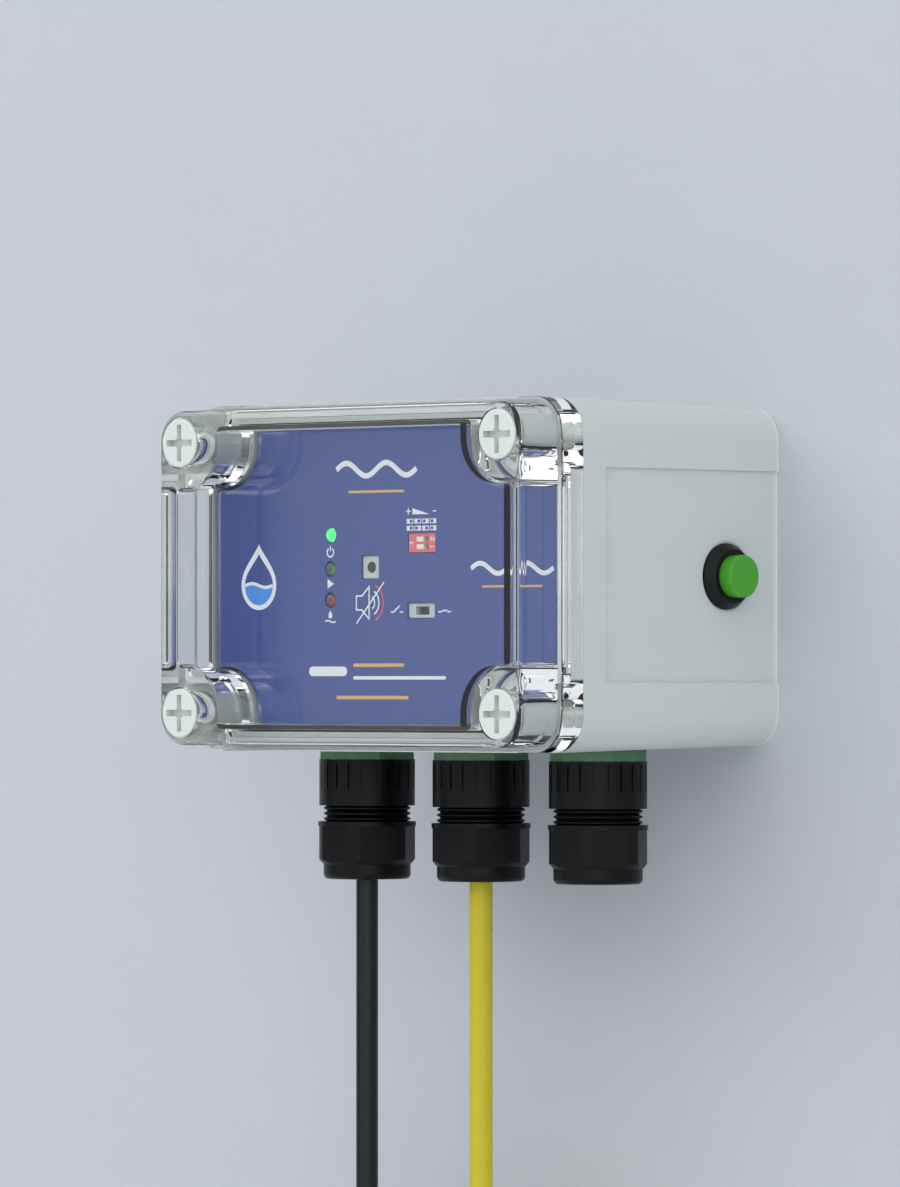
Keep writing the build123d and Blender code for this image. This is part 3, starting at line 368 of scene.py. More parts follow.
def moulded(name, colour, gloss=0.45, grain=0.012 * MM, drift=0.05, **numbers):
    """Injection-moulded plastic or rubber."""
    finish = Finish(name, **numbers)
    patches = finish.noise(1 / PATCH_SIZE, detail=3.0)
    fine = finish.noise(1 / GRAIN_SIZE, detail=2.0)
    tone = finish.blend(patches, shade(colour, 1 - drift), shade(colour, 1 + drift))
    finish.set(
        Base_Color=tone,
        Roughness=patches * PATCH_GLOSS + (gloss - PATCH_GLOSS / 2),
        Normal=finish.bump(fine, grain),
    )
    return finish.material


def dress(material, *names):
    """Gives CAD nodes their material."""
    for name in names:
        mesh = nodes[name].data
        mesh.materials.clear()
        mesh.materials.append(material)


print("grain", round(GRAIN_SIZE / MM, 2), "mm, patches", round(PATCH_SIZE / MM, 1), "mm")

# %% Box, screws and glands
SIDES = ("left", "middle", "right")
housing_grey = moulded(
    "housing_grey", (0.560, 0.61, 0.59, 1), gloss=0.42, grain=0.01 * MM, drift=0.02
)
screw_grey = moulded(
    "screw_grey", (0.63, 0.69, 0.655, 1), gloss=0.36, grain=0.008 * MM, drift=0.02
)
gland_black = moulded(
    "gland_black", (0.0026, 0.0030, 0.0036, 1), gloss=0.36, drift=0.1, Specular_IOR_Level=0.16
)
dress(housing_grey, "base_housing")
dress(screw_grey, "lid_screws")
for side in SIDES:
    dress(gland_black, f"gland_body_{side}", f"gland_nut_{side}", f"gland_locknut_{side}")
print("moulded:", housing_grey.name, screw_grey.name, gland_black.name)

# %% [markdown]
# ## Rubber, switches and small parts
#
# The green washers, the lid's grey gasket and the black seals are rubber: dull and a little mottled.
# The small switches, terminal blocks and the relay are moulded too, each in its usual colour. Only the
# push button is polished, because its mould is.

# %% Rubber and small plastic parts
RUBBER_GRAIN = 0.02 * MM

washer_green = moulded("washer_green", (0.055, 0.145, 0.065, 1), gloss=0.42, drift=0.08)
seal_black = moulded("seal_black", (0.02, 0.02, 0.02, 1), gloss=0.62, grain=RUBBER_GRAIN, drift=0.1)
gasket_grey = moulded("gasket_grey", (0.80, 0.82, 0.82, 1), gloss=0.5, grain=RUBBER_GRAIN)
switch_black = moulded("switch_black", (0.03, 0.03, 0.033, 1), gloss=0.4)
switch_grey = moulded("switch_grey", (0.60, 0.63, 0.65, 1), gloss=0.45)
setting_red = moulded("setting_red", (0.80, 0.17, 0.17, 1), gloss=0.4)
lever_white = moulded("lever_white", (0.85, 0.85, 0.84, 1), gloss=0.4)
relay_blue = moulded("relay_blue", (0.03, 0.09, 0.28, 1), gloss=0.3)
terminal_green = moulded("terminal_green", (0.04, 0.26, 0.09, 1), gloss=0.4)
bezel_black = moulded(
    "bezel_black", (0.0030, 0.0032, 0.0034, 1), gloss=0.42, Specular_IOR_Level=0.22
)
button_green = moulded(
    "button_green", (0.052, 0.32, 0.012, 1), gloss=0.30, grain=0.004 * MM, drift=0.03
)
tie_black = moulded("tie_black", (0.016, 0.016, 0.016, 1), gloss=0.4)
plug_black = moulded("plug_black", (0.016, 0.016, 0.018, 1), gloss=0.42)
for side in SIDES:
    dress(washer_green, f"gland_washer_{side}")
    dress(seal_black, f"gland_seal_{side}")
dress(gasket_grey, "lid_gasket")
dress(switch_black, "mute_plunger", "relay_mode_slider", "alarm_buzzer", "microcontroller")
dress(switch_grey, "mute_switch", "relay_mode_switch")
dress(setting_red, "dip_switch_body")
dress(lever_white, "dip_lever_1", "dip_lever_2")
dress(relay_blue, "alarm_relay")
dress(terminal_green, "power_terminal", "sensor_terminal", "contact_terminal")
dress(bezel_black, "button_bezel")
dress(button_green, "button_cap")
dress(tie_black, "power_lead_tie", "sensor_lead_tie")
dress(plug_black, "power_plug", "sensor_connector")
print("materials so far:", len(bpy.data.materials))

# %% [markdown]
# ## The face plate's blue
#
# The plate is a printed polyester sheet on plastic: one flat, deep blue with a smooth surface. The ink
# lies in a fine, even grain. Broad noise keeps the colour from being dead flat, and fine noise gives
# the grain. It is glossy, so it mirrors the pale sky, which lightens its blue.

# %% Face plate
INK_GRAIN = 0.12 * MM
CLOUD_SIZE = 30 * MM

plate_blue = Finish("plate_blue", Specular_IOR_Level=0.9)
cloud = plate_blue.noise(1 / CLOUD_SIZE, detail=2.0)
silk = plate_blue.noise(1 / INK_GRAIN, detail=1.0)
plate_blue.set(
    Base_Color=plate_blue.blend(cloud, (0.038, 0.074, 0.290, 1), (0.042, 0.080, 0.310, 1)),
    Roughness=cloud * 0.03 + 0.06,
    Normal=plate_blue.bump(silk, 0.002 * MM),
)
dress(plate_blue.material, "face_plate")

# %% [markdown]
# ## Metal parts and the circuit board
#
# Behind the plate the board stands on brass pillars. The board is glass cloth in resin under green
# lacquer: a fine weave shows through it, which two sine waves make. The pillars, the screws and the
# button's nut are turned metal, and a fine noise stands for the marks of the tool.

# %% Board and metal
WEAVE_PITCH = 0.5 * MM
TOOL_MARKS = 0.4 * MM


def turned_metal(name, colour, gloss):
    """Turned metal with fine tool marks."""
    finish = Finish(name, Metallic=1.0)
    marks = finish.noise(1 / TOOL_MARKS, detail=4.0)
    finish.set(
        Base_Color=finish.blend(marks, shade(colour, 0.85), shade(colour, 1.1)),
        Roughness=marks * 0.15 + gloss,
        Normal=finish.bump(marks, 0.004 * MM),
    )
    return finish.material


def weave(finish, pitch):
    """A plain weave: 0 in the gaps between the threads, 1 on top of them."""
    turns = 2 * math.pi / pitch
    across = finish.node("ShaderNodeMath", {"operation": "SINE"}, {0: finish.axis("X") * turns})
    along = finish.node("ShaderNodeMath", {"operation": "SINE"}, {0: finish.axis("Z") * turns})
    return across * along * 0.5 + 0.5


board_green = Finish("board_green", Coat_Weight=0.4)
cloth = weave(board_green, WEAVE_PITCH)
board_green.set(
    Base_Color=board_green.blend(cloth, (0.012, 0.10, 0.035, 1), (0.02, 0.14, 0.05, 1)),
    Roughness=cloth * 0.1 + 0.3,
    Normal=board_green.bump(cloth, 0.005 * MM),
)
brass = turned_metal("brass", (0.78, 0.60, 0.30, 1), 0.25)
steel = turned_metal("steel", (0.60, 0.60, 0.60, 1), 0.25)
can_metal = turned_metal("can_metal", (0.35, 0.36, 0.40, 1), 0.3)
dress(board_green.material, "circuit_board")
dress(brass, "board_pillars")
dress(steel, "board_screws", "button_nut")
dress(can_metal, "smoothing_capacitor")
print("metals:", brass.name, steel.name, can_metal.name)

# %% [markdown]
# ## The leads' jackets
#
# PVC cable jackets are extruded, so they are smooth and a little shiny, with faint unevenness and the
# slight mottling of pigment. The thin cores inside the box have the same plastic.

# %% Jackets
MOTTLE_SIZE = 4 * MM
SKIN_SIZE = 0.8 * MM


def jacket(name, colour, gloss):
    """An extruded cable jacket."""
    finish = Finish(name, Specular_IOR_Level=0.3)
    mottle = finish.noise(1 / MOTTLE_SIZE, detail=3.0)
    skin = finish.noise(1 / SKIN_SIZE, detail=2.0)
    finish.set(
        Base_Color=finish.blend(mottle, shade(colour, 0.93), shade(colour, 1.05)),
        Roughness=mottle * 0.1 + gloss,
        Normal=finish.bump(skin, 0.006 * MM),
    )
    return finish.material


jacket_black = jacket("jacket_black", (0.0065, 0.0080, 0.0090, 1), 0.24)
jacket_yellow = jacket("jacket_yellow", (0.53, 0.465, 0.020, 1), 0.24)
power_lead.data.materials.append(jacket_black)
sensor_lead.data.materials.append(jacket_yellow)
dress(jacket_black, "power_cores", "button_wires", "power_lead", "power_lead_coil")
dress(jacket_yellow, "sensor_cores", "sensor_lead", "sensor_lead_coil")
print("jackets:", jacket_black.name, jacket_yellow.name)

# %% [markdown]
# ## The clear lid
#
# The lid is polished polycarbonate. Real refraction matters here: it makes the bright and dark lines
# along the lid's edges and round its screw bosses, and it lifts the face plate towards the viewer. A
# refracting shader alone would keep the lamps' light from the pieces behind it, so for shadow rays the
# lid is plain transparent, less so at its walls, which throw much of the light aside. Its surface has
# only the faintest ripple, which comes from the moulding.
#
# In the photograph dark lines run along the edge of the lid's hollow: a grey one in the rounded corners
# at the top and bottom, and a black band beside the right wall. The modelled lid doesn't bend the light
# enough to give them, so they are drawn. A mask works out how far a place is from the hollow's edge,
# and how far the place a little to its right is, and lets a dark shader show through. Each colour
# belongs to a shader of its own, and only the masks change over the surface.
# Both lines are painted shade: the dark that the lid's rounded inside corners show by bending the light,
# painted in as dark shaders.

# %% Measurements of the lid
FRONT_WALL = 2.8 * MM
SCREW_HEAD = 11.3 * MM
NOTCH_RADIUS = 10.4 * MM
HOLLOW_MARGIN = 0.4 * MM
lid_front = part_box("clear_lid")[0][1]
inner_face = lid_front + FRONT_WALL
screw_corner = Vector(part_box("lid_screws")[1])
plate_corner = Vector(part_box("face_plate")[1])
screw_x, screw_z = screw_corner.x - SCREW_HEAD / 2, screw_corner.z - SCREW_HEAD / 2
hollow_x, hollow_z = plate_corner.x + HOLLOW_MARGIN, plate_corner.z + HOLLOW_MARGIN
print("lid's hollow is", [round(2 * v / MM, 1) for v in (hollow_x, hollow_z)], "mm wide and high")

# %% Clear plastic
RIPPLE_SIZE = 6 * MM

clear = Finish("clear_lid", Transmission_Weight=1.0, IOR=1.5, Specular_IOR_Level=0.28)
ripple = clear.noise(1 / RIPPLE_SIZE, detail=1.0)
clear.shader.inputs["Base Color"].default_value = (0.965, 0.975, 0.972, 1)
clear.set(Roughness=ripple * 0.02 + 0.005, Normal=clear.bump(ripple, 0.002 * MM))
across, deep, up = (clear.axis(n) for n in "XYZ")


def room(x):
    """How far a place lies inside the lid's hollow, which has a round notch about each screw."""
    to_walls = (hollow_x - x.size()).least(hollow_z - up.size())
    past_screw = (x.size() - screw_x).least(0)
    to_notch = past_screw.distance((up.size() - screw_z).least(0)) - NOTCH_RADIUS
    return to_walls.least(to_notch)


print("clear plastic has", len(clear.tree.nodes), "nodes so far")

# %% Painted shade in the lid
BAND_START, BAND_WIDTH = 0.5 * MM, 2.2 * MM
LINE_START, LINE_END = 0.1 * MM, 1.25 * MM
HOLLOW_START, FLAT_END = -0.1 * MM, 0.15 * MM
CORNER_START = 0.05 * MM

here, to_the_right = room(across), room(across + BAND_WIDTH)
in_hollow = (here > LINE_START) * (deep > inner_face + HOLLOW_START)
on_flat = inner_face + FLAT_END > deep
# Painted shade: a black band beside the right wall of the hollow, where the rounded inside corner would
# show dark.
painted_shade_band = in_hollow * (here > BAND_START) * (BAND_START > to_the_right) * on_flat
in_corner = (inner_face + LINE_END > deep) * (deep > inner_face + CORNER_START)
# Painted shade: a grey line in the rounded corners at the top and bottom of the hollow.
line = in_hollow * (LINE_END > here) * (up.size() > hollow_z - LINE_END) * in_corner
# The two dark shaders that the painted shade shows through the clear plastic.
painted_shade_grey = clear.node("ShaderNodeBsdfDiffuse", {}, {"Color": (0.085, 0.088, 0.078, 1)})
painted_shade_black = clear.node("ShaderNodeBsdfDiffuse", {}, {"Color": (0.010, 0.011, 0.012, 1)})
with_painted_shade = clear.either(painted_shade_band, clear.either(line, clear.whole(), painted_shade_grey), painted_shade_black)
print("clear plastic with its lines has", len(clear.tree.nodes), "nodes")

# %% Light through the lid
FRONT_ENDS = 0.1 * MM

at_front = inner_face + FRONT_ENDS > deep
through_wall = clear.node("ShaderNodeBsdfTransparent", {}, {"Color": (0.74, 0.75, 0.75, 1)})
through_front = clear.node("ShaderNodeBsdfTransparent", {}, {"Color": (0.94, 0.95, 0.95, 1)})
shadow = clear.node("ShaderNodeLightPath", output="Is Shadow Ray")
clear.show(clear.either(shadow, with_painted_shade, clear.either(at_front, through_wall, through_front)))
dress(clear.material, "clear_lid")
print("lid's front wall ends at y =", round(inner_face / MM, 2), "mm")

# %% [markdown]
# ## The lamps
#
# Each lamp is a small clear-coloured dome. The top one is lit, so its whole face glows evenly. The two
# others are off: they look dark, with a painted highlight, a bright crescent at the lower right for the
# light a dome gathers from the upper left. A distance from a point off the dome's middle gives its
# shape.

# %% Lamps
GLOW_SIZE = 1.5 * MM
HAZE_SIZE = 1.0 * MM
OFF_LEFT, OFF_UP = 0.5, 0.3
PAINTED_GLINT_START, PAINTED_GLINT_END = 1.0, 1.6

lit = Finish("lamp_lit", Roughness=0.25, Emission_Strength=1.0)
glow = lit.noise(1 / GLOW_SIZE, detail=1.0)
lit.set(
    Base_Color=lit.blend(glow, (0.02, 0.30, 0.07, 1), (0.03, 0.36, 0.09, 1)),
    Emission_Color=lit.blend(glow, (0.060, 0.93, 0.225, 1), (0.070, 1.0, 0.250, 1)),
)


def unlit(name, node, colour, painted_glint_colour):
    """A lamp that is off: a coloured clear dome, with a bright crescent painted at the lower right as a
    highlight.
    """
    finish = Finish(name, Transmission_Weight=0.35, IOR=1.5, Coat_Weight=0.6)
    low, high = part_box(node)
    radius = (high[0] - low[0]) / 2
    x = finish.axis("X") - (middle(node).x - OFF_LEFT * radius)
    z = finish.axis("Z") - (middle(node).z + OFF_UP * radius)
    haze = finish.noise(1 / HAZE_SIZE, detail=1.0)
    from_off = x.distance(z) + haze * 0.3 * radius
    # Painted highlight: the bright crescent is painted into the base colour where the dome would gather
    # light.
    painted_glint = finish.slope(from_off, PAINTED_GLINT_START * radius, PAINTED_GLINT_END * radius)
    finish.set(Base_Color=finish.blend(painted_glint, colour, painted_glint_colour), Roughness=haze * 0.08 + 0.06)
    return finish.material


dress(lit.material, "led_power")
green_off = unlit("lamp_green_off", "led_run", (0.020, 0.080, 0.040, 1), (0.04, 0.62, 0.12, 1))
red_off = unlit("lamp_red_off", "led_leak", (0.070, 0.022, 0.025, 1), (0.75, 0.04, 0.05, 1))
dress(green_off, "led_run")
dress(red_off, "led_leak")
print("lamps at z =", [round(middle(f"led_{n}").z / MM, 1) for n in ("power", "run", "leak")])

# %% [markdown]
# ## Printing on the face plate
#
# The plate's symbols are screen-printed: flat areas of ink a few hundredths of a millimetre thick. Ink
# is made here as filled flat curves with that thickness, so each symbol is real geometry. A line of ink
# is drawn as the outline of a ribbon, which one function works out from its middle line, and a closed
# line is a pair of outlines, of which the inner one is a hole. Symbols stand for what the plate has to
# say: power, running, a leak, mute, and open or closed contacts.

# %% Ink
def ink(name, colour):
    """Screen ink: even, slightly silky."""
    finish = Finish(name)
    grain = finish.noise(1 / INK_GRAIN, detail=1.0)
    finish.set(
        Base_Color=finish.blend(grain, shade(colour, 0.96), shade(colour, 1.0)),
        Roughness=grain * 0.08 + 0.4,
    )
    return finish.material


ink_white = ink("ink_white", (0.86, 0.88, 0.92, 1))
ink_blue = ink("ink_blue", (0.055, 0.29, 0.83, 1))
ink_gold = ink("ink_gold", (0.75, 0.46, 0.13, 1))
ink_red = ink("ink_red", (0.70, 0.10, 0.12, 1))
print("inks:", ink_white.name, ink_blue.name, ink_gold.name, ink_red.name)

# %% Lines of ink
SHARPEST_MITRE = 0.3


def ribbon(points, width):
    """The outline of an open line of that width, with mitred corners."""
    line = [Vector(p) for p in points]
    left, right = [], []
    for n, here in enumerate(line):
        into = (here - line[n - 1]).normalized() if n else None
        out = (line[n + 1] - here).normalized() if n + 1 < len(line) else None
        along = (into or out) + (out or into)
        along.normalize()
        side = Vector((-along.y, along.x))
        widen = 1 / max((into or out).dot(along), SHARPEST_MITRE)
        left.append(here + side * width / 2 * widen)
        right.append(here - side * width / 2 * widen)
    return left + right[::-1]


def arc(x, z, radius, start, end, count=16):
    """Points along an arc, from one angle to the other in degrees, anticlockwise from the right."""
    turns = [math.radians(start + (end - start) * n / count) for n in range(count + 1)]
    return [(x + radius * math.cos(t), z + radius * math.sin(t)) for t in turns]


print("a short ribbon has", len(ribbon([(0, 0), (1, 0)], 0.1)), "corners")

# %% Printing
INK = 0.03 * MM
PLATE_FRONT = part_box("face_plate")[0][1]


def printed(name, outlines, material=ink_white, layer=1):
    """One flat area of ink, from outlines in plate millimetres. Later layers lie on earlier ones."""
    curve = bpy.data.curves.new(name, "CURVE")
    curve.dimensions = "2D"
    curve.fill_mode = "BOTH"
    curve.extrude = INK / 2
    for outline in outlines:
        spline = curve.splines.new("POLY")
        spline.points.add(len(outline) - 1)
        for point, place in zip(spline.points, outline):
            point.co = (place[0] * MM, place[1] * MM, 0, 1)
        spline.use_cyclic_u = True
    curve.materials.append(material)
    piece = bpy.data.objects.new(name, curve)
    bpy.context.scene.collection.objects.link(piece)
    piece.rotation_euler = (math.pi / 2, 0, 0)
    piece.location = (0, PLATE_FRONT - INK * (layer - 0.5), 0)
    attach(piece, "controller")
    return piece


print("ink is", round(INK / MM, 3), "mm thick, on a plate at", round(PLATE_FRONT / MM, 2), "mm")

# %% [markdown]
# ## The drop
#
# The large symbol at the left is a drop of water, the usual sign for a leak detector. Its outline is a
# round bottom that runs up to a point: half a circle joined to two curves that meet at the tip. Water
# fills the lower part up to a wavy level.

# %% Drop symbol
DROP_X = -40.7
DROP_RADIUS = 5.8
DROP_BOTTOM = -7.4
DROP_TIP = 7.9
DROP_LINE = 1.1


def drop_outline(x, bottom, tip, radius, count=14):
    """A drop: a circle below, and sides that rise to a point."""
    centre = bottom + radius
    sides = []
    for n in range(1, count):
        share = n / count
        half = radius * math.cos(share * math.pi / 2) ** 1.25
        sides.append((half, centre + (tip - centre) * share))
    right = [(x + half, z) for half, z in sides]
    left = [(x - half, z) for half, z in reversed(sides)]
    return arc(x, centre, radius, 180, 360, 24) + right + [(x, tip)] + left


def wave(x, z, width, height, count=16):
    """A level with one crest at the left and one trough at the right."""
    steps = [n / count for n in range(count + 1)]
    return [(x + (s - 0.5) * width, z + height * math.sin(2 * math.pi * s)) for s in steps]


outer = drop_outline(DROP_X, DROP_BOTTOM, DROP_TIP, DROP_RADIUS)
inner = drop_outline(
    DROP_X, DROP_BOTTOM + DROP_LINE, DROP_TIP - 2.0 * DROP_LINE, DROP_RADIUS - DROP_LINE
)
printed("drop_line", [outer, inner])
print("drop is", 2 * DROP_RADIUS, "by", round(DROP_TIP - DROP_BOTTOM, 1), "mm")

# %% Water in the drop
LEVEL = DROP_BOTTOM + 5.7
LEVEL_LINE = 0.75
WAVE_HEIGHT = 0.45
water_radius = DROP_RADIUS - DROP_LINE

water_bottom = arc(DROP_X, DROP_BOTTOM + DROP_RADIUS, water_radius, 352, 188, 24)
water = wave(DROP_X, LEVEL - 0.35, 2 * water_radius * 0.985, WAVE_HEIGHT) + water_bottom
surface = ribbon(wave(DROP_X, LEVEL, 2 * water_radius * 0.97, WAVE_HEIGHT), LEVEL_LINE)
printed("drop_water", [water], ink_blue)
printed("drop_level", [surface], layer=2)
print("water stands", LEVEL - DROP_BOTTOM, "mm high")

# %% [markdown]
# ## Signs under the lamps
#
# Under each lamp stands a small sign: the ring and bar for power, the triangle for running, and a
# drop over a wave for a leak. Each is 2 to 3 mm high.

# %% Lamp signs
SIGN_DROP = 3.95
SIGN_LINE = 0.34
RING_RADIUS = 1.05
RING_OPENING = 35  # degrees to either side of the top
SMALL_DROP_RADIUS = 0.62
sign_x = middle("led_power").x / MM

power_z = middle("led_power").z / MM - SIGN_DROP
round_ring = arc(sign_x, power_z, RING_RADIUS, 90 + RING_OPENING, 450 - RING_OPENING, 24)
ring = ribbon(round_ring, SIGN_LINE)
bar = ribbon([(sign_x, power_z + 0.25), (sign_x, power_z + 1.45)], SIGN_LINE)
printed("power_sign", [ring, bar])
run_z = middle("led_run").z / MM - SIGN_DROP + 0.5
triangle = [(sign_x - 0.9, run_z - 1.1), (sign_x + 1.2, run_z), (sign_x - 0.9, run_z + 1.1)]
printed("run_sign", [triangle])
leak_z = middle("led_leak").z / MM - SIGN_DROP + 0.1
small_drop = drop_outline(sign_x, leak_z - 0.35, leak_z + 1.5, SMALL_DROP_RADIUS, 8)
small_wave = ribbon(wave(sign_x, leak_z - 1.05, 3.4, 0.22), SIGN_LINE)
printed("leak_sign", [small_drop, small_wave])
print("signs at x =", round(sign_x, 2))

# %% [markdown]
# ## Mute sign
#
# Under the mute switch is the usual loudspeaker with sound waves and a stroke through it. The outer
# wave is red. The stroke is a second layer of ink over the rest.

# %% Mute sign
MUTE_LINE = 0.36
MOUTH, NECK, BACK = -0.15, -2.5, -4.3
MOUTH_HEIGHT, BACK_HEIGHT = 3.7, 1.6
WAVE_RADII = (1.55, 2.95, 4.35)
WAVE_ANGLES = (60, 62, 66)
mx, mz = middle("mute_switch").x / MM - 0.1, -5.95

lower = [(MOUTH, -MOUTH_HEIGHT), (NECK, -BACK_HEIGHT), (BACK, -BACK_HEIGHT)]
upper = [(x, -z) for x, z in reversed(lower)]
closing = [(MOUTH, -MOUTH_HEIGHT - MUTE_LINE / 2)]
speaker = ribbon([(mx + x, mz + z) for x, z in lower + upper + closing], MUTE_LINE)
near_wave, middle_wave, far_wave = (
    arc(mx + 0.1, mz, radius, -angle, angle) for radius, angle in zip(WAVE_RADII, WAVE_ANGLES)
)
stroke = [(mx - 4.2, mz - 4.7), (mx + 4.75, mz + 4.75)]
printed("mute_speaker", [speaker])
printed("mute_waves", [ribbon(near_wave, MUTE_LINE), ribbon(middle_wave, MUTE_LINE)])
printed("mute_far_wave", [ribbon(far_wave, MUTE_LINE * 1.2)], ink_red)
printed("mute_stroke", [ribbon(stroke, MUTE_LINE)], layer=2)
print("mute sign is centred on", [round(v, 2) for v in (mx, mz)])

# %% [markdown]
# ## Signs of the relay switch and of the setting switch
#
# The relay switch has an open contact on its left and a closed one on its right. Over the setting
# switch stands a wedge from plus to minus for the sensitivity, and two rows of small frames that show
# which way its levers stand. On the switch itself are its plain numbers and an arrow.

# %% Contact signs
CONTACT_OFF, CONTACT_BELOW = 3.3, 0.3
CONTACT_REACH, CONTACT_HINGE = 2.0, 0.9
BLADE_RISE = 0.17
OPEN_LIFT, CLOSED_LIFT = 1.25, 0.17
mode_low, mode_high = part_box("relay_mode_switch")
mode_z = (mode_low[2] + mode_high[2]) / 2 / MM


def contact(x, z, lift):
    """Two terminals and a blade between them, lifted or down."""
    left = ribbon([(x - CONTACT_REACH, z), (x - CONTACT_HINGE, z)], SIGN_LINE)
    right = ribbon([(x + CONTACT_HINGE, z), (x + CONTACT_REACH, z)], SIGN_LINE)
    blade_start = (x - CONTACT_HINGE, z + BLADE_RISE)
    blade_end = (x + CONTACT_HINGE - 0.05, z + BLADE_RISE + lift)
    return [left, right, ribbon([blade_start, blade_end], SIGN_LINE)]


open_x = mode_low[0] / MM - CONTACT_OFF
closed_x = mode_high[0] / MM + CONTACT_OFF
printed("open_contact", contact(open_x, mode_z - CONTACT_BELOW, OPEN_LIFT))
printed("closed_contact", contact(closed_x, mode_z - CONTACT_BELOW, CLOSED_LIFT))
print("relay switch at z =", round(mode_z, 2))

# %% Setting switch signs
dip_low, dip_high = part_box("dip_switch_body")
dip_x = (dip_low[0] + dip_high[0]) / 2 / MM
dip_z = (dip_low[2] + dip_high[2]) / 2 / MM
dip_front = dip_low[1]
FRAME_STEP = 2.48
FRAME_SIZE = (2.1, 1.1)
FRAME_LINES = 0.4
ROW_HEIGHTS = (dip_z + 3.35, dip_z + 4.95)
WEDGE_LOW, WEDGE_HIGH = dip_z + 6.5, dip_z + 7.9


def box_line(x, z, width, height):
    """The corners of a rectangle about a point."""
    w, h = width / 2, height / 2
    return [(x - w, z - h), (x + w, z - h), (x + w, z + h), (x - w, z + h)]


frames, blocks = [], []
for row, height in enumerate(ROW_HEIGHTS):
    for column in range(4):
        x = dip_x + (column - 1.5) * FRAME_STEP
        frames.append(box_line(x, height, *FRAME_SIZE))
        frames.append(box_line(x, height, FRAME_SIZE[0] - FRAME_LINES, FRAME_SIZE[1] - FRAME_LINES))
        side = 1 if (column >> row) & 1 else -1
        blocks.append(box_line(x + side * 0.42, height, 0.65, FRAME_SIZE[1] - FRAME_LINES))
printed("setting_frames", frames)
printed("setting_blocks", blocks)
wedge = [(dip_x - 2.9, WEDGE_LOW), (dip_x + 2.6, WEDGE_LOW), (dip_x - 2.9, WEDGE_HIGH)]
printed("sensitivity_wedge", [wedge])
wedge_z = (WEDGE_LOW + WEDGE_HIGH) / 2
plus = [box_line(dip_x - 4.2, wedge_z, 1.4, 0.3), box_line(dip_x - 4.2, wedge_z, 0.3, 1.4)]
printed("sensitivity_plus", [plus[0]])
printed("sensitivity_plus_bar", [plus[1]], layer=2)
printed("sensitivity_minus", [box_line(dip_x + 4.2, wedge_z, 1.2, 0.3)])
print("setting switch at", round(dip_x, 2), round(dip_z, 2))

# %% Numbers on the setting switch
NUMBER_LINE = 0.2


def printed_on_switch(name, outlines):
    """Ink on the setting switch's own face."""
    piece = printed(name, outlines)
    piece.location.y = dip_front - INK / 2
    return piece


number_x = dip_x + 3.35
one_z, two_z = dip_z - 0.85, dip_z + 0.85
flag = (number_x - 0.45, one_z - 0.22)
one = ribbon([flag, (number_x - 0.7, one_z), (number_x + 0.6, one_z)], NUMBER_LINE)
hook = arc(number_x - 0.28, two_z, 0.36, 300, 90, 10)
two = ribbon(hook + [(number_x + 0.55, two_z - 0.4), (number_x + 0.55, two_z + 0.42)], NUMBER_LINE)
arrow_x = dip_x - 3.1
arrow = ribbon([(arrow_x - 0.5, dip_z), (arrow_x + 0.35, dip_z)], NUMBER_LINE)
head = [(arrow_x - 0.95, dip_z), (arrow_x - 0.35, dip_z - 0.5), (arrow_x - 0.35, dip_z + 0.5)]
printed_on_switch("setting_number_1", [one])
printed_on_switch("setting_number_2", [two])
printed_on_switch("setting_arrow", [arrow])
printed_on_switch("setting_arrow_head", [head])
print("numbers at x =", round(number_x, 2))

# %% [markdown]
# ## Decoration
#
# Plain shapes fill the rest of the plate: waves with a gold line under them at the head and at the
# right, and short white and gold bars at the foot. The waves at the right run on to the plate's edge,
# so the lid's corner breaks them up, which shows how strongly it bends the light.

# %% Waves and bars
HEAD_LEFT, HEAD_Z = -15.0, 24.6
SIDE_LEFT, SIDE_Z = 28.5, 1.6
FOOT_LEFT = -24.0
RULE = 0.8
RULE_LENGTH, RULE_BELOW, RULE_WEIGHT = 0.7, 3.4, 0.45


def bar_shape(x, z, width, height):
    """A bar with round ends, from its left end."""
    r = height / 2
    return arc(x + r, z, r, 90, 270, 8) + arc(x + width - r, z, r, -90, 90, 8)


def waves(name, left, z, length, height, line):
    """Two waves of ink, and a gold rule under them."""
    points = wave(left + length / 4, z, length / 2, height)
    points += wave(left + 3 * length / 4, z, length / 2, height)[1:]
    printed(f"{name}_wave", [ribbon(points, line)])
    rule_left = left + length * (1 - RULE_LENGTH) / 2
    rule = bar_shape(rule_left, z - RULE_BELOW * height, length * RULE_LENGTH, line * RULE_WEIGHT)
    printed(f"{name}_rule", [rule], ink_gold)


waves("head", HEAD_LEFT, HEAD_Z, 26.0, 1.5, 1.25)
waves("side", SIDE_LEFT, SIDE_Z, 23.0, 1.2, 1.1)
printed("foot_block", [bar_shape(FOOT_LEFT, -21.6, 12.5, 2.2)])
printed("foot_rule_gold", [bar_shape(FOOT_LEFT + 14.5, -20.2, 16.5, RULE)], ink_gold)
printed("foot_rule_white", [bar_shape(FOOT_LEFT + 14.5, -23.1, 30.0, RULE)])
printed("foot_rule_low", [bar_shape(FOOT_LEFT + 9.0, -27.6, 23.5, RULE)], ink_gold)
print("head, side and foot of the plate are decorated")

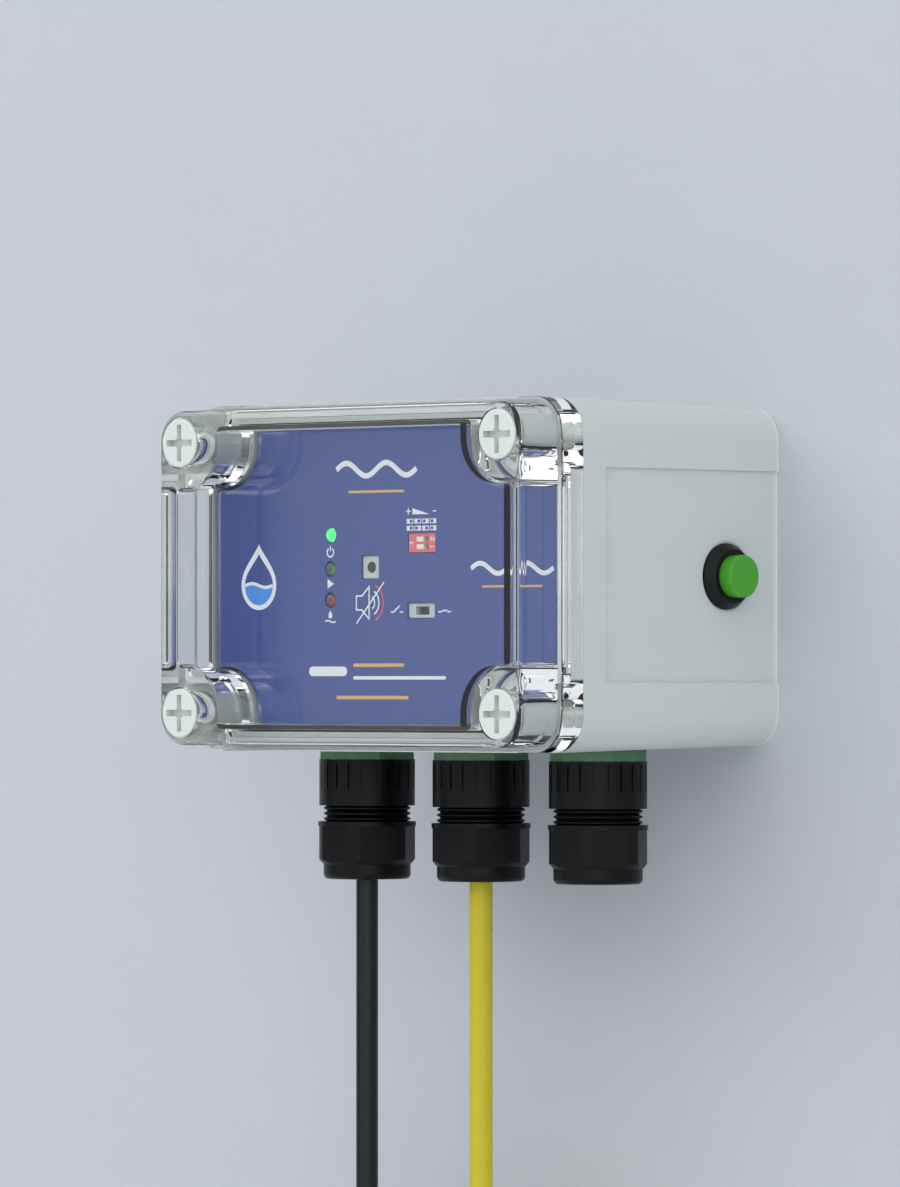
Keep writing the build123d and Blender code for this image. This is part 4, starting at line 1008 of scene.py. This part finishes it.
# %% [markdown]
# ## The wall, the floor and the light
#
# The controller hangs on a plain plastered wall, so the stage is a wall and a floor. The wall shows only
# from its front: from behind, where no one could stand, it is clear, and light that sets out within a
# hair of it passes, so the back of the box can be seen.
# Most of the light comes from a pale sky, brighter above than below. A large soft lamp at the upper
# left gives the shadow at the right of the box, and a weaker one at the right lights the side with the
# button. The flat lid and the glossy plate mirror what stands at the left front, so that part of the sky
# is dimmed, and a dark card stands in it. Its edge shows in them as a soft step from darker to lighter.

# %% Wall and floor
WALL_Y = 0.4 * MM
CONTACT = 2 * MM
FLOOR_Z = -0.62
STAGE = 3.2
TROWEL_SIZE = 1 / 16
SPECK_SIZE = 1 / 140
UNEVENNESS = 1.3 * MM
CAST_SIZE = 1 / 3


def plane(name, corners, material):
    """A flat stage piece from its four corners."""
    mesh = bpy.data.meshes.new(name)
    mesh.from_pydata(corners, [], [(0, 1, 2, 3)])
    mesh.materials.append(material)
    made = bpy.data.objects.new(name, mesh)
    bpy.context.scene.collection.objects.link(made)


plaster = Finish("plaster")
trowel = plaster.noise(1 / TROWEL_SIZE, detail=5.0, roughness=0.6)
specks = plaster.noise(1 / SPECK_SIZE, detail=3.0)
plaster.set(
    Base_Color=plaster.blend(trowel, (0.485, 0.508, 0.553, 1), (0.515, 0.538, 0.583, 1)),
    Roughness=0.8,
    Normal=plaster.bump(trowel + specks * 0.3, UNEVENNESS, 0.5),
)
from_behind = plaster.node("ShaderNodeNewGeometry", output="Backfacing")
ray_length = plaster.node("ShaderNodeLightPath", output="Ray Length")
let_past = from_behind + (CONTACT > ray_length)
nothing = plaster.node("ShaderNodeBsdfTransparent")
plaster.show(plaster.either(let_past, plaster.whole(), nothing))
wall_foot = [(-STAGE, WALL_Y, FLOOR_Z), (STAGE, WALL_Y, FLOOR_Z)]
wall_head = [(STAGE, WALL_Y, STAGE), (-STAGE, WALL_Y, STAGE)]
plane("wall", wall_foot + wall_head, plaster.material)
floor_paint = Finish("floor_paint")
cast = floor_paint.noise(1 / CAST_SIZE, detail=3.0)
floor_paint.set(
    Base_Color=floor_paint.blend(cast, (0.78, 0.79, 0.81, 1), (0.82, 0.83, 0.85, 1)), Roughness=0.7
)
floor_front = [(-STAGE, -STAGE, FLOOR_Z), (STAGE, -STAGE, FLOOR_Z)]
floor_back = [(STAGE, STAGE, FLOOR_Z), (-STAGE, STAGE, FLOOR_Z)]
plane("floor", floor_front + floor_back, floor_paint.material)

# %% Soft lamps
BOX_MIDDLE = Vector((0, -0.04, 0))


def soft_lamp(name, place, size, watts):
    """A square soft lamp that points at the middle of the box."""
    lamp = bpy.data.lights.new(name, "AREA")
    lamp.shape = "SQUARE"
    lamp.size = size
    lamp.energy = watts
    made = bpy.data.objects.new(name, lamp)
    bpy.context.scene.collection.objects.link(made)
    made.location = place
    made.rotation_mode = "QUATERNION"
    made.rotation_quaternion = (BOX_MIDDLE - made.location).to_track_quat("-Z", "Y")


soft_lamp("key_lamp", (-1.4, -1.3, 1.2), 1.6, 10)
soft_lamp("side_lamp", (1.5, -1.6, 0.6), 1.2, 6)
print("lamps:", [lamp.name for lamp in bpy.data.lights])

# %% Sky
LOW_TONE, HIGH_TONE = (0.80, 0.81, 0.82, 1), (1.04, 1.06, 1.08, 1)
LOW_SKY, HIGH_SKY = -0.5, 0.9
DIM_TONE, CARD_TONE = (0.52, 0.52, 0.53, 1), (0.08, 0.08, 0.09, 1)
CARD_REACH, CARD_EDGE, CARD_INSIDE = 0.80, 0.9605, 0.9630
CARD_TURN = math.radians(62)
SKY_STRENGTH = 1.12


class Sky(Finish):
    """The world, built with the same helpers as a material."""

    def __init__(self, name, strength):
        self.world = bpy.data.worlds.new(name)
        self.world.use_nodes = True
        self.tree = self.world.node_tree
        self.background = self.tree.nodes["Background"]
        self.background.inputs["Strength"].default_value = strength

    def ray(self):
        """The direction that a ray leaves in."""
        return self.node("ShaderNodeTexCoord", output="Generated")


sky = Sky("sky", SKY_STRENGTH)
height = sky.node("ShaderNodeSeparateXYZ", {}, {0: sky.ray()}, output="Z")
card = Vector((-math.sin(CARD_TURN), -math.cos(CARD_TURN), 0.0))
to_card = sky.node(
    "ShaderNodeVectorMath", {"operation": "DOT_PRODUCT"}, {0: sky.ray(), 1: card}, output="Value"
)
tone = sky.blend(sky.slope(height, LOW_SKY, HIGH_SKY), LOW_TONE, HIGH_TONE)
tone = sky.blend(sky.slope(to_card, CARD_REACH, CARD_EDGE), tone, DIM_TONE)
tone = sky.blend(sky.slope(to_card, CARD_EDGE, CARD_INSIDE), tone, CARD_TONE)
sky.feed(sky.background.inputs["Color"], tone)
bpy.context.scene.world = sky.world
bpy.context.scene.view_settings.view_transform = "Standard"
print("sky has", len(sky.tree.nodes), "nodes")

# %% [markdown]
